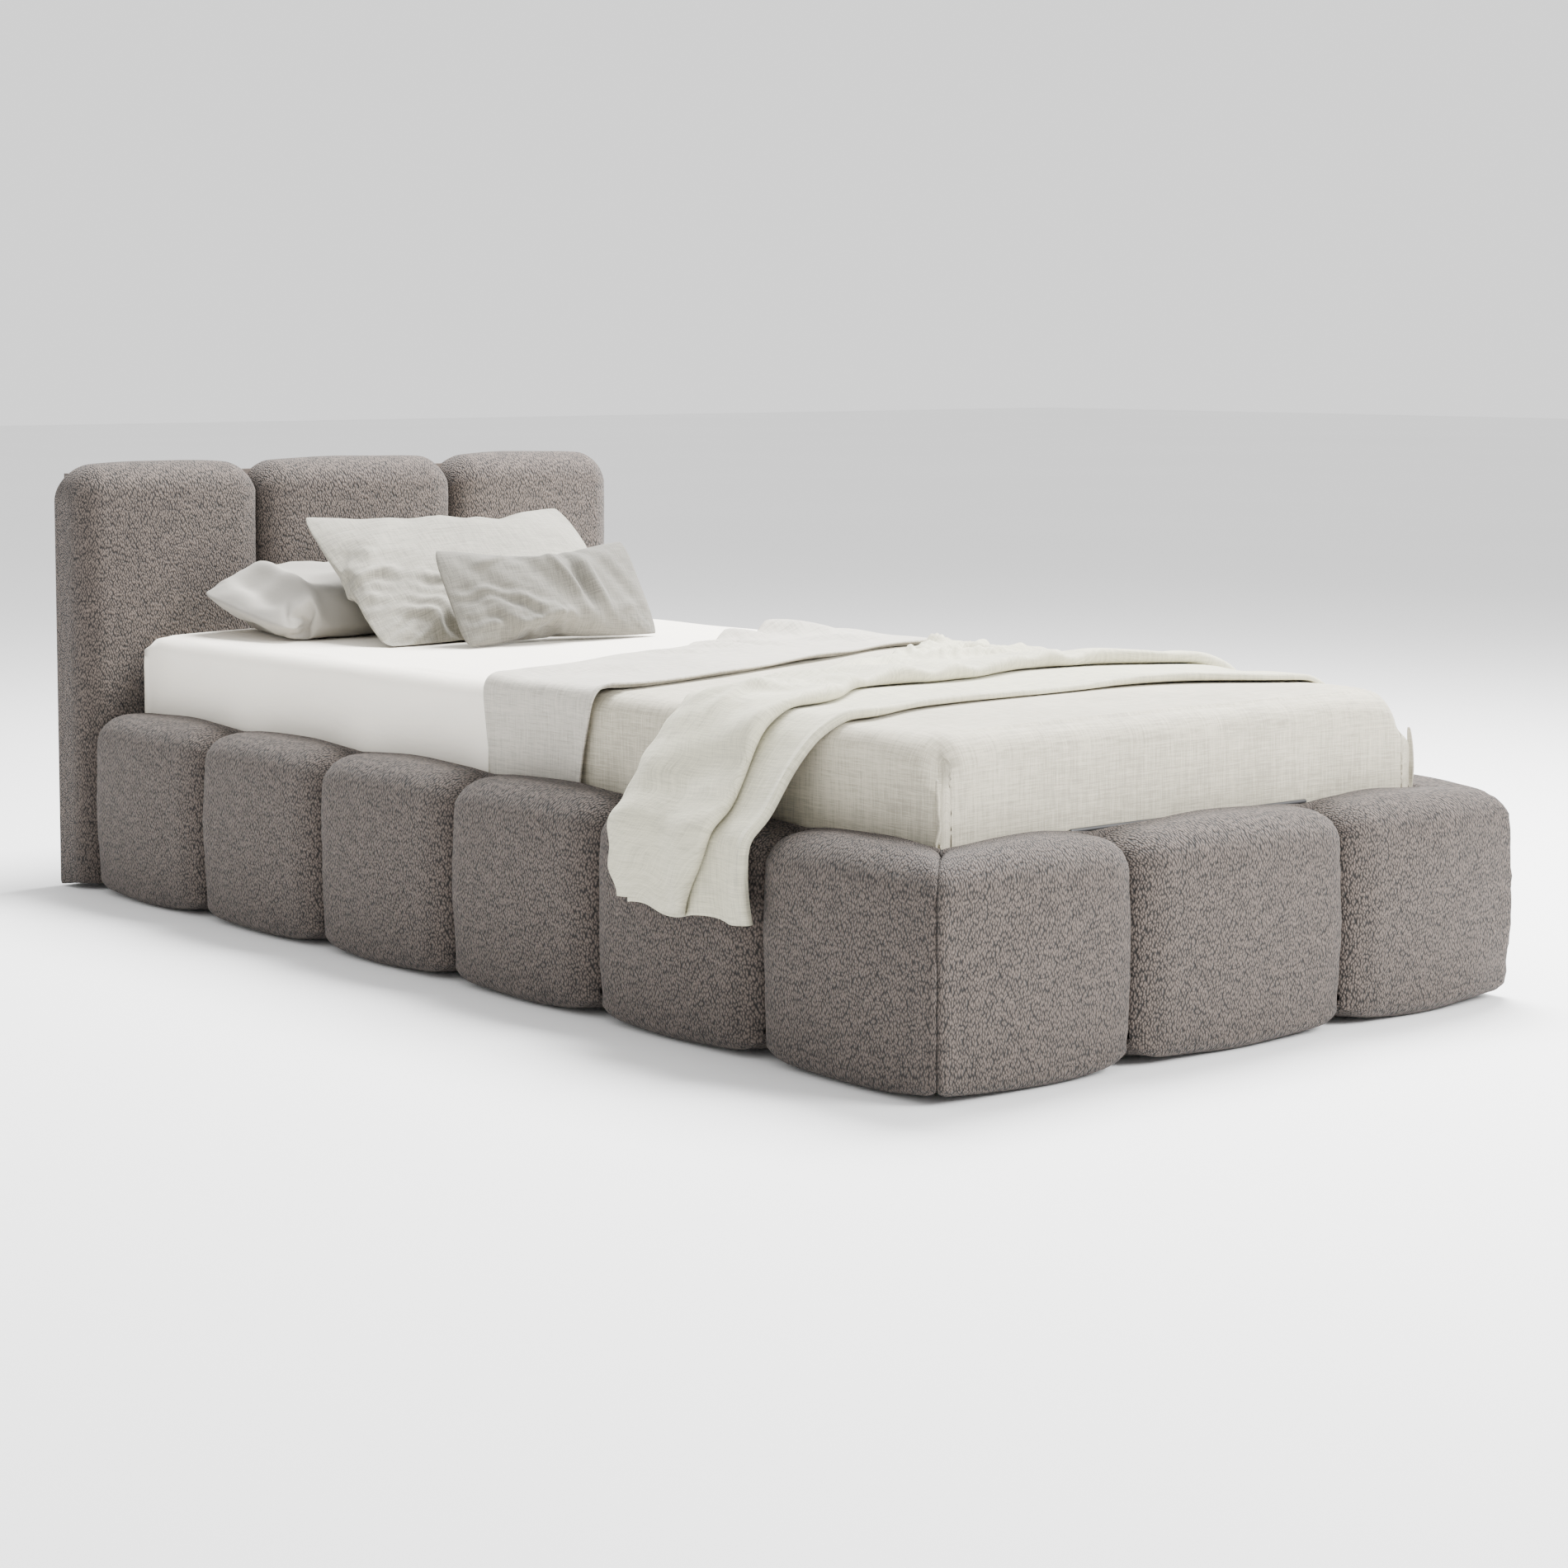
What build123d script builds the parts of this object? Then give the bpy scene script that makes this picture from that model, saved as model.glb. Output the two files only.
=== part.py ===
from build123d import *
import math
import os

# Upholstered single bed with a lift-up slatted base over a bedding box.
# X runs across the bed, Y towards the head, Z up; the origin is the middle of the floor under it.
# All sizes are in millimetres.

# Mattress and the room around it
mattress_width = 900
mattress_length = 2000
mattress_height = 200
mattress_bottom = 230
mattress_round = 28
side_gap = 10
foot_gap = 20
head_gap = 10

# Box of boards and the upholstery around it
board = 18
pad_depth = 82
pad_cap = 20
rail_height = 310
head_height = 727
head_valley = 22
seam_depth = 12
mitre_recess = 8
side_lobes = 6
foot_middle_lobe = 406
pad_top_round = 38
pad_bottom_round = 18
pad_inner_round = 9
head_top_round = 42
panel_inset = 20
back_cloth = 2

# Underside
glide_height = 4
glide_inset = 26
glide_radius = 17
batten = 12
batten_width = 28
floor_panel = 4
panel_play = 1

# Slat frame that lifts
linkage_room = 40
tube = 30
tube_wall = 2
frame_play = 8
slat_width = 62
slat_thick = 8
slat_count = 18
cap_play = 0.3
cap_wall = 2
cap_length = 38
bracket = 4
bracket_length = 190
retainer_wire = 6
retainer_rise = 70
ledge_width = 60
ledge_height = 30

# Lift linkage, as distances footwards from the headboard's face and heights above the floor
front_base_pivot = (-892, 46)
front_frame_pivot = (-526, 205)
rear_base_pivot = (-640, 46)
rear_frame_pivot = (-417, 205)
strut_base_pivot = (-462, 46)
strut_arm_distance = 150
plate = 3
plate_rise = 22
arm_thick = 5
arm_width = 30
bracket_leg = 34
arm_gap = 3
pin_radius = 4
pin_play = 0.05
open_pin_play = 8
open_eye_wall = 6
strut_eye_play = 7
strut_radius = 10
strut_body = 195
strut_wall = 14
rod_radius = 4
rod_buried = 80
eye_thick = 10

# Bedding
sheet_thick = 2
sheet_drop = 180
spread_thick = 5
spread_drop = 160
crease_left = 1075
crease_right = 685
band_width = 330
band_thick = 6
throw_thick = 8
throw_gap = 3
throw_drop = 120
throw_left = (1795, 1510)
throw_right = (1815, 1130)
soft_gap = 0.6

# Pillows: width, depth, thickness; then X, distance from the headboard, and lean in degrees
back_pillow = (560, 290, 100)
back_pillow_place = (-110, 190, 0)
middle_pillow = (525, 320, 80)
middle_pillow_place = (-22, 386, 30)
front_cushion = (385, 180, 70)
front_cushion_place = (-12, 571, 58)

inner_x = mattress_width / 2 + side_gap
outer_x = inner_x + board + pad_depth
wall = board + pad_depth
length = mattress_length + foot_gap + head_gap + 2 * wall
foot_face = -length / 2
foot_inner = foot_face + wall
head_face = length / 2 - wall
back_face = length / 2
board_top = rail_height - pad_cap
pad_bottom = glide_height
mattress_foot = foot_inner + foot_gap
mattress_head = head_face - head_gap
mattress_top = mattress_bottom + mattress_height
sheet_top = mattress_top + sheet_thick
spread_top = sheet_top + spread_thick
board_bottom = glide_height
panel_top = board_bottom + batten + floor_panel
slat_top = mattress_bottom
tube_top = slat_top - slat_thick - cap_wall
tube_bottom = tube_top - tube
frame_half = inner_x - linkage_room
frame_x = frame_half - tube
seam_x = foot_middle_lobe / 2
lobe_length = (head_face - foot_face) / side_lobes

# Layers across the bed for the linkage, from the side board inwards
plate_x = inner_x - plate
arm_x = plate_x - arm_gap - arm_thick
strut_x = arm_x - arm_gap - strut_radius
lug_x = strut_x - eye_thick / 2


def save(name, shape):
    """Write one sub-part, turned into plain solids, to its own file."""
    os.makedirs("parts", exist_ok=True)
    solids = shape.solids()
    export_step(solids[0] if len(solids) == 1 else Compound(children=list(solids)), f"parts/{name}.step")


def block(x0, x1, y0, y1, z0, z1):
    """A box between two corners."""
    return Pos((x0 + x1) / 2, (y0 + y1) / 2, (z0 + z1) / 2) * Box(abs(x1 - x0), abs(y1 - y0), abs(z1 - z0))


def bead(x, y, z, radius, across):
    """A round bar along X that starts at x and is across long."""
    plane = Plane(origin=(x, y, z), x_dir=(0, 1, 0), z_dir=(1, 0, 0))
    return extrude(plane * Circle(radius), across)


def right(shape):
    """The mirror image of a left-hand shape."""
    return mirror(shape, Plane.YZ)


def plan_prism(wire):
    """A tall prism over a closed outline drawn in plan."""
    return extrude(make_face(wire), head_height + 1)


def boards():
    """The three flat boards of the box and the panel inside the headboard."""
    side = block(-inner_x - board, -inner_x, foot_inner, head_face, board_bottom, board_top)
    foot = block(-inner_x - board, inner_x + board, foot_inner - board, foot_inner, board_bottom, board_top)
    edge = outer_x - panel_inset
    head = block(-edge, edge, back_face - back_cloth - board, back_face - back_cloth,
                 board_bottom, head_height - panel_inset)
    return side, foot, head


def side_profile():
    """The section of a side rail's upholstery, carried along the whole rail."""
    section = Plane.XZ.offset(-head_face) * Pos(-(inner_x + outer_x) / 2, (pad_bottom + rail_height) / 2) \
        * Rectangle(wall, rail_height - pad_bottom)
    bar = extrude(section, head_face - foot_face)
    return round_bar(bar, Axis.Y, Axis.X)


def round_bar(bar, along, across):
    """Round a bar's outer top, outer bottom and inner top edges; across points to the mattress."""
    bar = fillet(bar.edges().filter_by(along).group_by(across)[0].sort_by(Axis.Z)[-1:], pad_top_round)
    bar = fillet(bar.edges().filter_by(along).group_by(across)[0].sort_by(Axis.Z)[:1], pad_bottom_round)
    return fillet(bar.edges().filter_by(along).group_by(across)[-1].sort_by(Axis.Z)[-1:], pad_inner_round)


def side_pads(side, foot):
    """Six crowned lobes along the left rail; the first is mitred at the foot corner."""
    bar = side_profile()
    pads = []
    for i in range(side_lobes):
        y0 = foot_face + i * lobe_length
        y1 = y0 + lobe_length
        valley = -outer_x + seam_depth
        start = (valley, y0)
        inner = (-inner_x, y0)
        if i == 0:
            start = (-outer_x + mitre_recess, foot_face + mitre_recess)
            inner = (-inner_x, foot_inner)
        crown = ThreePointArc(start, (-outer_x, (y0 + y1) / 2), (valley, y1))
        rest = Polyline((valley, y1), (-inner_x, y1), inner, start)
        pads.append((bar & plan_prism(crown + rest)) - side - foot)
    return pads


def foot_pads(side, foot):
    """The left corner lobe, mitred, and the middle lobe of the footboard."""
    section = Plane.YZ.offset(-outer_x) * Pos((foot_face + foot_inner) / 2, (pad_bottom + rail_height) / 2) \
        * Rectangle(wall, rail_height - pad_bottom)
    bar = extrude(section, 2 * outer_x)
    bar = round_bar(bar, Axis.X, Axis.Y)
    valley = foot_face + seam_depth
    corner = (-outer_x + mitre_recess, foot_face + mitre_recess)
    middle_x = (-outer_x - seam_x) / 2
    left = ThreePointArc(corner, (middle_x, foot_face), (-seam_x, valley)) \
        + Polyline((-seam_x, valley), (-seam_x, foot_inner), (-inner_x, foot_inner), corner)
    middle = ThreePointArc((-seam_x, valley), (0, foot_face), (seam_x, valley)) \
        + Polyline((seam_x, valley), (seam_x, foot_inner), (-seam_x, foot_inner), (-seam_x, valley))
    return (bar & plan_prism(left)) - side - foot, (bar & plan_prism(middle)) - foot


def head_pad(x0, x1, panel):
    """One tall lobe of the headboard, domed on top and crowned towards the mattress."""
    valley_y = head_face + seam_depth
    back = back_face - back_cloth
    middle = (x0 + x1) / 2
    plan = ThreePointArc((x0, valley_y), (middle, head_face), (x1, valley_y)) \
        + Polyline((x1, valley_y), (x1, back), (x0, back), (x0, valley_y))
    valley_z = head_height - head_valley
    front = ThreePointArc((x0, valley_z), (middle, head_height), (x1, valley_z)) \
        + Polyline((x1, valley_z), (x1, pad_bottom), (x0, pad_bottom), (x0, valley_z))
    upright = extrude(Plane.XZ.offset(-back) * make_face(front), wall)
    section = Plane.YZ.offset(x0) * Pos((head_face + back) / 2, (pad_bottom + head_height) / 2) \
        * Rectangle(back - head_face, head_height - pad_bottom)
    bar = extrude(section, x1 - x0)
    bar = fillet(bar.edges().filter_by(Axis.X).group_by(Axis.Y)[0].sort_by(Axis.Z)[-1:], head_top_round)
    return (plan_prism(plan) & upright & bar) - panel


def corner_bracket(y_wall, towards):
    """A steel angle that bolts a side board to the end board or to the headboard."""
    low = panel_top + 60
    high = board_top - 90
    long_leg = block(-inner_x, -inner_x + plate, y_wall, y_wall + towards * bracket_leg, low, high)
    cross_leg = block(-inner_x, -inner_x + bracket_leg, y_wall, y_wall + towards * plate, low, high)
    return long_leg + cross_leg


def bolt_heads(y_wall, towards):
    """Four domed bolt heads on one corner bracket."""
    heads = []
    for z in (panel_top + 85, board_top - 115):
        along = Plane(origin=(-inner_x + plate, y_wall + towards * 20, z), x_dir=(0, 1, 0), z_dir=(1, 0, 0))
        heads.append(extrude(along * Circle(6), 3))
        face = Plane(origin=(-inner_x + 20, y_wall + towards * plate, z), x_dir=(1, 0, 0),
                     z_dir=(0, towards, 0))
        heads.append(extrude(face * Circle(6), 3))
    return heads


def glides():
    """Plastic feet set in under the boards, where the pads hide them, and under the middle batten."""
    near = inner_x + board / 2
    ends = (foot_inner + glide_inset, back_face - wall / 2)
    places = [(x, y) for x in (-near, near) for y in (*ends, 0)]
    places += [(0, foot_inner - board / 2), (0, ends[1]), (0, 0)]
    return [Pos(x, y, glide_height / 2) * Cylinder(glide_radius, glide_height) for x, y in places]


def point(pivot):
    """A pivot given from the headboard's face, in the bed's own Y and Z."""
    return head_face + pivot[0], pivot[1]


def bar_plate(x, start, end, width, thick):
    """A flat steel bar with round ends between two pivots, square to X."""
    dy = end[0] - start[0]
    dz = end[1] - start[1]
    span = math.hypot(dy, dz)
    plane = Plane(origin=(x, (start[0] + end[0]) / 2, (start[1] + end[1]) / 2),
                  x_dir=(0, dy / span, dz / span), z_dir=(1, 0, 0))
    return extrude(plane * SlotCenterToCenter(span, width), thick)


def front_arm():
    """The longer arm, from the hinge plate to the slat frame, with the stud that the strut pushes."""
    start = point(front_base_pivot)
    end = point(front_frame_pivot)
    arm = bar_plate(-arm_x - arm_thick, start, end, arm_width, arm_thick)
    for y, z in (start, end):
        arm -= bead(-arm_x - arm_thick - 1, y, z, pin_radius + pin_play, arm_thick + 2)
    y, z = strut_stud()
    return arm + bead(-arm_x - 1, y, z, pin_radius, 1 + arm_x - lug_x)


def strut_stud():
    """Where on the front arm the gas strut pushes."""
    start = point(front_base_pivot)
    end = point(front_frame_pivot)
    share = strut_arm_distance / math.dist(start, end)
    return start[0] + (end[0] - start[0]) * share, start[1] + (end[1] - start[1]) * share


def rear_arm():
    """The shorter arm; its upper eye is wide, so the pin can wander in it as the frame lifts."""
    start = point(rear_base_pivot)
    end = point(rear_frame_pivot)
    arm = bar_plate(-arm_x - arm_thick, start, end, arm_width, arm_thick)
    wide = pin_radius + open_pin_play
    arm += bead(-arm_x - arm_thick, end[0], end[1], wide + open_eye_wall, arm_thick)
    arm -= bead(-arm_x - arm_thick - 1, end[0], end[1], wide, arm_thick + 2)
    return arm - bead(-arm_x - arm_thick - 1, start[0], start[1], pin_radius + pin_play, arm_thick + 2)


def hinge_plate():
    """The steel plate on the side board that carries the base pivots."""
    start = point(front_base_pivot)
    end = point(strut_base_pivot)
    z0 = panel_top + 1
    return block(-inner_x, -plate_x, start[0] - 30, end[0] + 30, z0, start[1] + plate_rise)


def base_pins():
    """Three pivots on the hinge plate: both arms and the strut's lower eye."""
    pins = []
    for pivot, end_x in ((front_base_pivot, arm_x), (rear_base_pivot, arm_x), (strut_base_pivot, lug_x)):
        y, z = point(pivot)
        reach = plate_x - end_x + 1.5
        pins.append(bead(-plate_x, y, z, pin_radius, reach) + bead(-plate_x, y, z, pin_radius + 3, 2)
                    + bead(-plate_x + reach, y, z, pin_radius + 3, 1.4))
    return pins


def frame_pins():
    """Two pivots on the slat frame's bracket, one for each arm."""
    pins = []
    for pivot in (front_frame_pivot, rear_frame_pivot):
        y, z = point(pivot)
        start = -arm_x - arm_thick - 0.6
        pins.append(bead(start, y, z, pin_radius, -start - frame_half - bracket)
                    + bead(-arm_x + 1, y, z, pin_radius + 4, 2))
    return pins


def strut_frame():
    """Axes of the gas strut: from its lower pivot towards the stud on the arm."""
    y0, z0 = point(strut_base_pivot)
    y1, z1 = strut_stud()
    span = math.hypot(y1 - y0, z1 - z0)
    way = (0, (y1 - y0) / span, (z1 - z0) / span)
    return Plane(origin=(-strut_x, y0, z0), x_dir=(1, 0, 0), z_dir=way), span


def gas_cylinder():
    """The strut's tube with its lower eye; the rod slides in a close bore."""
    frame, _ = strut_frame()
    y0, z0 = point(strut_base_pivot)
    body = extrude(frame.offset(strut_wall) * Circle(strut_radius), strut_body - strut_wall)
    neck = extrude(frame * Rectangle(eye_thick, 10), strut_wall + 1)
    eye = bead(-strut_x - eye_thick / 2, y0, z0, 9, eye_thick)
    bore = extrude(frame.offset(strut_wall + 6) * Circle(rod_radius + pin_play), strut_body)
    hole = bead(-strut_x - eye_thick, y0, z0, pin_radius + pin_play, 2 * eye_thick)
    return body + neck + eye - bore - hole


def gas_rod():
    """The strut's rod with its upper eye, wide enough for the stud to wander in."""
    frame, span = strut_frame()
    y1, z1 = strut_stud()
    wide = pin_radius + strut_eye_play
    rod = extrude(frame.offset(strut_body - rod_buried) * Circle(rod_radius),
                  span - wide - 1 - strut_body + rod_buried)
    eye = bead(-strut_x - eye_thick / 2, y1, z1, wide + 4, eye_thick)
    hole = bead(-strut_x - eye_thick, y1, z1, wide, 2 * eye_thick)
    return rod + (eye - hole)


def square_tube(axis, centre, span):
    """A square steel tube along X or Y, open at both ends."""
    size = (span, tube, tube) if axis == "x" else (tube, span, tube)
    hollow = tube - 2 * tube_wall
    inner = (span + 2, hollow, hollow) if axis == "x" else (hollow, span + 2, hollow)
    return Pos(*centre) * (Box(*size) - Box(*inner))


def frame_tubes():
    """The slat frame: two long side tubes and three cross tubes between them."""
    centre_z = tube_top - tube / 2
    foot_y = mattress_foot - frame_play
    head_y = mattress_head - frame_play
    tubes = {"frame_tube_left": square_tube("y", (-frame_x - tube / 2, (foot_y + head_y) / 2, centre_z),
                                            head_y - foot_y)}
    tubes["frame_tube_right"] = right(tubes["frame_tube_left"])
    places = {"foot": foot_y + tube / 2, "middle": (foot_y + head_y) / 2, "head": head_y - tube / 2}
    for name, y in places.items():
        tubes[f"frame_tube_{name}"] = square_tube("x", (0, y, centre_z), 2 * frame_x)
    return tubes


def slat_places():
    """Y of each slat, evenly shared along the frame."""
    first = mattress_foot + slat_width
    last = mattress_head - slat_width
    return [first + (last - first) * i / (slat_count - 1) for i in range(slat_count)]


def slats():
    """Sprung slats, a little short of the mattress's full width."""
    half = frame_half - cap_wall - cap_play
    low = slat_top - slat_thick
    return [block(-half, half, y - slat_width / 2, y + slat_width / 2, low, slat_top)
            for y in slat_places()]


def slat_caps():
    """Rubber end holders: a socket for each slat end, open towards the middle."""
    caps = []
    edge = frame_half
    for y in slat_places():
        half = slat_width / 2 + cap_play
        shell = block(-edge, -edge + cap_length, y - half - cap_wall, y + half + cap_wall,
                      tube_top, slat_top - 1)
        socket = block(-edge + cap_wall, 0, y - half, y + half, slat_top - slat_thick, slat_top)
        caps += [shell - socket, right(shell - socket)]
    return caps


def mattress_retainer():
    """A steel wire hoop at the foot that keeps the mattress from sliding when the base is up."""
    half = mattress_width / 4
    y = mattress_foot - sheet_thick - spread_thick - soft_gap - retainer_wire / 2
    low = tube_top
    high = mattress_bottom + retainer_rise
    hoop = bead(-half, y, high, retainer_wire / 2, 2 * half)
    for x in (-half, half):
        hoop += Pos(x, y, (low + high) / 2) * Cylinder(retainer_wire / 2, high - low)
        hoop += Pos(x, y, high) * Sphere(retainer_wire / 2)
    return hoop


def lift_bracket():
    """The steel plate welded to the outside of a side tube, with the two arm pivots."""
    front = point(front_frame_pivot)
    rear = point(rear_frame_pivot)
    middle = (front[0] + rear[0]) / 2
    plate_block = block(-frame_half - bracket, -frame_half, middle - bracket_length / 2,
                        middle + bracket_length / 2, tube_bottom + 1, tube_top - 2)
    return plate_block


def pull_strap():
    """A webbing loop on the foot tube, for lifting the base."""
    y = mattress_foot - frame_play
    width = 25
    strap = block(-width / 2, width / 2, y - 3, y - 1, tube_bottom - 2, tube_top + 3)
    return strap + block(-width / 2, width / 2, y - 3, y + 24, tube_bottom - 2, tube_bottom)


def mattress():
    """A foam mattress with rounded edges."""
    x = mattress_width / 2
    shape = block(-x, x, mattress_foot, mattress_head, mattress_bottom, mattress_top)
    return fillet(shape.edges(), mattress_round)


def cover(thick, top, drop, play):
    """A skin over the mattress's top and sides, open underneath."""
    x = mattress_width / 2 + play
    outer = block(-x - thick, x + thick, mattress_foot - play - thick, mattress_head + play + thick,
                  top - thick - drop, top)
    inner = block(-x, x, mattress_foot - play, mattress_head + play, top - thick - drop - 1, top - thick)
    reach = mattress_round + play
    return round_top(outer, reach + thick) - round_top(inner, reach)


def round_top(shape, radius):
    """Round every edge of a box but the four underneath."""
    low = shape.bounding_box().min.Z
    return fillet([edge for edge in shape.edges() if edge.center().Z > low + 1], radius)


def foot_side_of(left_y, right_y):
    """Everything on the foot side of a slanting line across the bed."""
    x = outer_x
    outline = Polyline((-x, left_y), (x, right_y), (x, foot_face), (-x, foot_face), (-x, left_y))
    return plan_prism(outline)


def fitted_sheet():
    """A white sheet that hugs the mattress."""
    return cover(sheet_thick, sheet_top, sheet_drop, 0)


def crease():
    """Y of the spread's turned edge where it meets the left and right planes of the bed."""
    return head_face - crease_left, head_face - crease_right


def bedspread():
    """A linen spread over the mattress, tucked down inside the rails; its head edge slants."""
    return cover(spread_thick, spread_top, spread_drop, sheet_thick) & foot_side_of(*crease())


def turned_back_band():
    """The head end of the spread, folded back on itself."""
    x = mattress_width / 2 - mattress_round
    left, right_y = crease()
    low = spread_top + soft_gap
    slab = block(-x, x, foot_face, head_face, low, low + band_thick)
    return slab & foot_side_of(left, right_y) - foot_side_of(left - band_width, right_y - band_width)


def throw():
    """A folded blanket across the bed that hangs over the outside of both rails."""
    t = throw_thick
    low = spread_top + soft_gap
    edge = mattress_width / 2 + sheet_thick + spread_thick
    rail = rail_height + throw_gap
    outer = outer_x + throw_gap
    hem = rail_height - throw_drop
    left = [(-outer, hem), (-outer, rail), (-edge - 2, rail), (-edge - 2, low)]
    left_out = [(-outer - t, hem), (-outer - t, rail + t), (-edge - 2 - t, rail + t), (-edge - 2 - t, low + t)]
    section = left + [(-x, z) for x, z in reversed(left)]
    section += [(-x, z) for x, z in left_out] + list(reversed(left_out)) + [left[0]]
    sheet = extrude(Plane.XZ * make_face(Polyline(*section)), length, both=True)
    x = outer + t + 1
    left_head, left_foot = (head_face - d for d in throw_left[::-1])
    right_head, right_foot = (head_face - d for d in throw_right[::-1])
    outline = Polyline((-x, left_foot), (-x, left_head), (-edge, left_head), (edge, right_head),
                       (x, right_head), (x, right_foot), (edge, right_foot), (-edge, left_foot),
                       (-x, left_foot))
    return sheet & plan_prism(outline)


def pillow(size, place):
    """A plain pillow, rounded all over, that stands on its lower edge and leans back."""
    width, depth, thick = size
    x, from_head, lean = place
    shape = fillet(Box(width, depth, thick).edges(), thick * 0.48)
    rise = (depth - thick) / 2 * math.sin(math.radians(lean))
    return Pos(x, head_face - from_head, sheet_top + soft_gap + thick / 2 + rise) * Rot(lean, 0, 0) * shape


def save_pair(name, left_shape):
    """Write a left-hand sub-part and its mirror image."""
    save(f"{name}_left", left_shape)
    save(f"{name}_right", right(left_shape))


def build_box():
    """Boards, upholstery and underside."""
    side, foot, head = boards()
    save_pair("side_board", side)
    save("foot_board", foot)
    save("head_panel", head)
    edge = outer_x - panel_inset
    save("head_back_cloth", block(-edge, edge, back_face - back_cloth, back_face, pad_bottom,
                                  head_height - panel_inset))
    for i, pad in enumerate(side_pads(side, foot), 1):
        save_pair(f"side_pad_{i}", pad)
    corner, middle = foot_pads(side, foot)
    save_pair("foot_pad", corner)
    save("foot_pad_middle", middle)
    save_pair("head_pad", head_pad(-outer_x, -seam_x, head))
    save("head_pad_middle", head_pad(-seam_x, seam_x, head))
    save("glides", Compound(children=glides()))


def build_base():
    """What is fixed inside the box: battens, floor panels, ledges and hinge plates."""
    low = board_bottom
    rim = inner_x - panel_play
    side = block(-rim, -rim + batten_width, foot_inner + 1, head_face - 1, low, low + batten)
    cross = block(-rim + batten_width, rim - batten_width, -batten_width / 2, batten_width / 2, low, low + batten)
    save("floor_battens", Compound(children=[side, cross, right(side)]))
    low += batten
    panels = [block(-rim, rim, foot_inner + 1, -panel_play / 2, low, low + floor_panel),
              block(-rim, rim, panel_play / 2, head_face - 1, low, low + floor_panel)]
    save("floor_panels", Compound(children=panels))
    ledge_end = point(front_base_pivot)[0] - 60
    save_pair("side_ledge", block(-inner_x, -inner_x + ledge_width, foot_inner + bracket_leg + 6, ledge_end,
                                  tube_bottom - ledge_height, tube_bottom))
    save_pair("hinge_plate", hinge_plate())
    foot_corner = corner_bracket(foot_inner, 1)
    head_corner = corner_bracket(head_face, -1)
    save("corner_brackets", Compound(children=[foot_corner, head_corner, right(foot_corner), right(head_corner)]))
    heads = bolt_heads(foot_inner, 1) + bolt_heads(head_face, -1)
    save("frame_bolts", Compound(children=heads + [right(head) for head in heads]))


def build_lift():
    """The linkage, the struts and the slat frame."""
    save_pair("front_arm", front_arm())
    save_pair("rear_arm", rear_arm())
    for name, shapes in (("base_pins", base_pins()), ("frame_pins", frame_pins()),
                         ("gas_cylinders", [gas_cylinder()]), ("gas_rods", [gas_rod()])):
        save(name, Compound(children=shapes + [right(shape) for shape in shapes]))
    for name, shape in frame_tubes().items():
        save(name, shape)
    save_pair("lift_bracket", lift_bracket())
    save("slats", Compound(children=slats()))
    save("slat_caps", Compound(children=slat_caps()))
    save("mattress_retainer", mattress_retainer())
    save("pull_strap", pull_strap())


def build_bedding():
    """Mattress, covers, throw and pillows."""
    save("mattress", mattress())
    save("fitted_sheet", fitted_sheet())
    save("bedspread", bedspread())
    save("turned_back_band", turned_back_band())
    save("throw", throw())
    save("back_pillow", pillow(back_pillow, back_pillow_place))
    save("middle_pillow", pillow(middle_pillow, middle_pillow_place))
    save("front_cushion", pillow(front_cushion, front_cushion_place))


build_box()
build_base()
build_lift()
build_bedding()
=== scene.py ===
"""Upholstered single bed: boucle rails and headboard, made up with linen, on a lift-up slatted base.

Sizes are metres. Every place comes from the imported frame's node boxes.
"""
import math

import bmesh
import bpy
import numpy as np
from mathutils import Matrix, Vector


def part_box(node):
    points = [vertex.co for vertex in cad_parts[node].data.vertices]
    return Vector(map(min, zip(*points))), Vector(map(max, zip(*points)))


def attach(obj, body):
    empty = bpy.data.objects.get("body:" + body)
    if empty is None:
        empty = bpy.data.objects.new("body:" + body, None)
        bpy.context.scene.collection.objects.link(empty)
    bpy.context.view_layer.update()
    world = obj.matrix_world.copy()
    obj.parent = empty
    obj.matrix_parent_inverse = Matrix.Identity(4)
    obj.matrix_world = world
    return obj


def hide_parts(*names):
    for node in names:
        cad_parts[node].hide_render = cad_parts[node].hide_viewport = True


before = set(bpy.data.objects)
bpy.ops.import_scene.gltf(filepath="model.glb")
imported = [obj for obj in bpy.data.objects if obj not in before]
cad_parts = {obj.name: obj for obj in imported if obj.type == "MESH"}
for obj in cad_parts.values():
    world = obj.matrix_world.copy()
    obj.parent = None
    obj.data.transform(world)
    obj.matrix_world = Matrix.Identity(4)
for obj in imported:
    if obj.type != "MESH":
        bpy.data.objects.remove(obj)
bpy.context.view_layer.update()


# ---------------------------------------------------------------- places taken from the frame

def corners(node):
    """Lowest and highest corner of a node as arrays."""
    low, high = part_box(node)
    return np.array(low, float), np.array(high, float)


rail_low, rail_high = corners("side_pad_2_left")
head_low, head_high = corners("head_pad_middle")
spread_low, spread_high = corners("bedspread")
sheet_low, sheet_high = corners("fitted_sheet")
mattress_low, mattress_high = corners("mattress")

WALL = rail_high[0] - rail_low[0]
OUTER_X = -rail_low[0]
RAIL_TOP = rail_high[2]
RAIL_BOTTOM = rail_low[2]
FOOT_FACE = corners("foot_pad_middle")[0][1]
HEAD_FACE = head_low[1]
SEAM_X = head_high[0]
SPREAD_TOP = spread_high[2]
SHEET_TOP = sheet_high[2]
FOOT_EDGE = spread_low[1]
board_low, board_high = corners("side_board_left")
BOARD = board_high[0] - board_low[0]
BOARD_TOP = board_high[2]


# ---------------------------------------------------------------- mesh making

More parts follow.
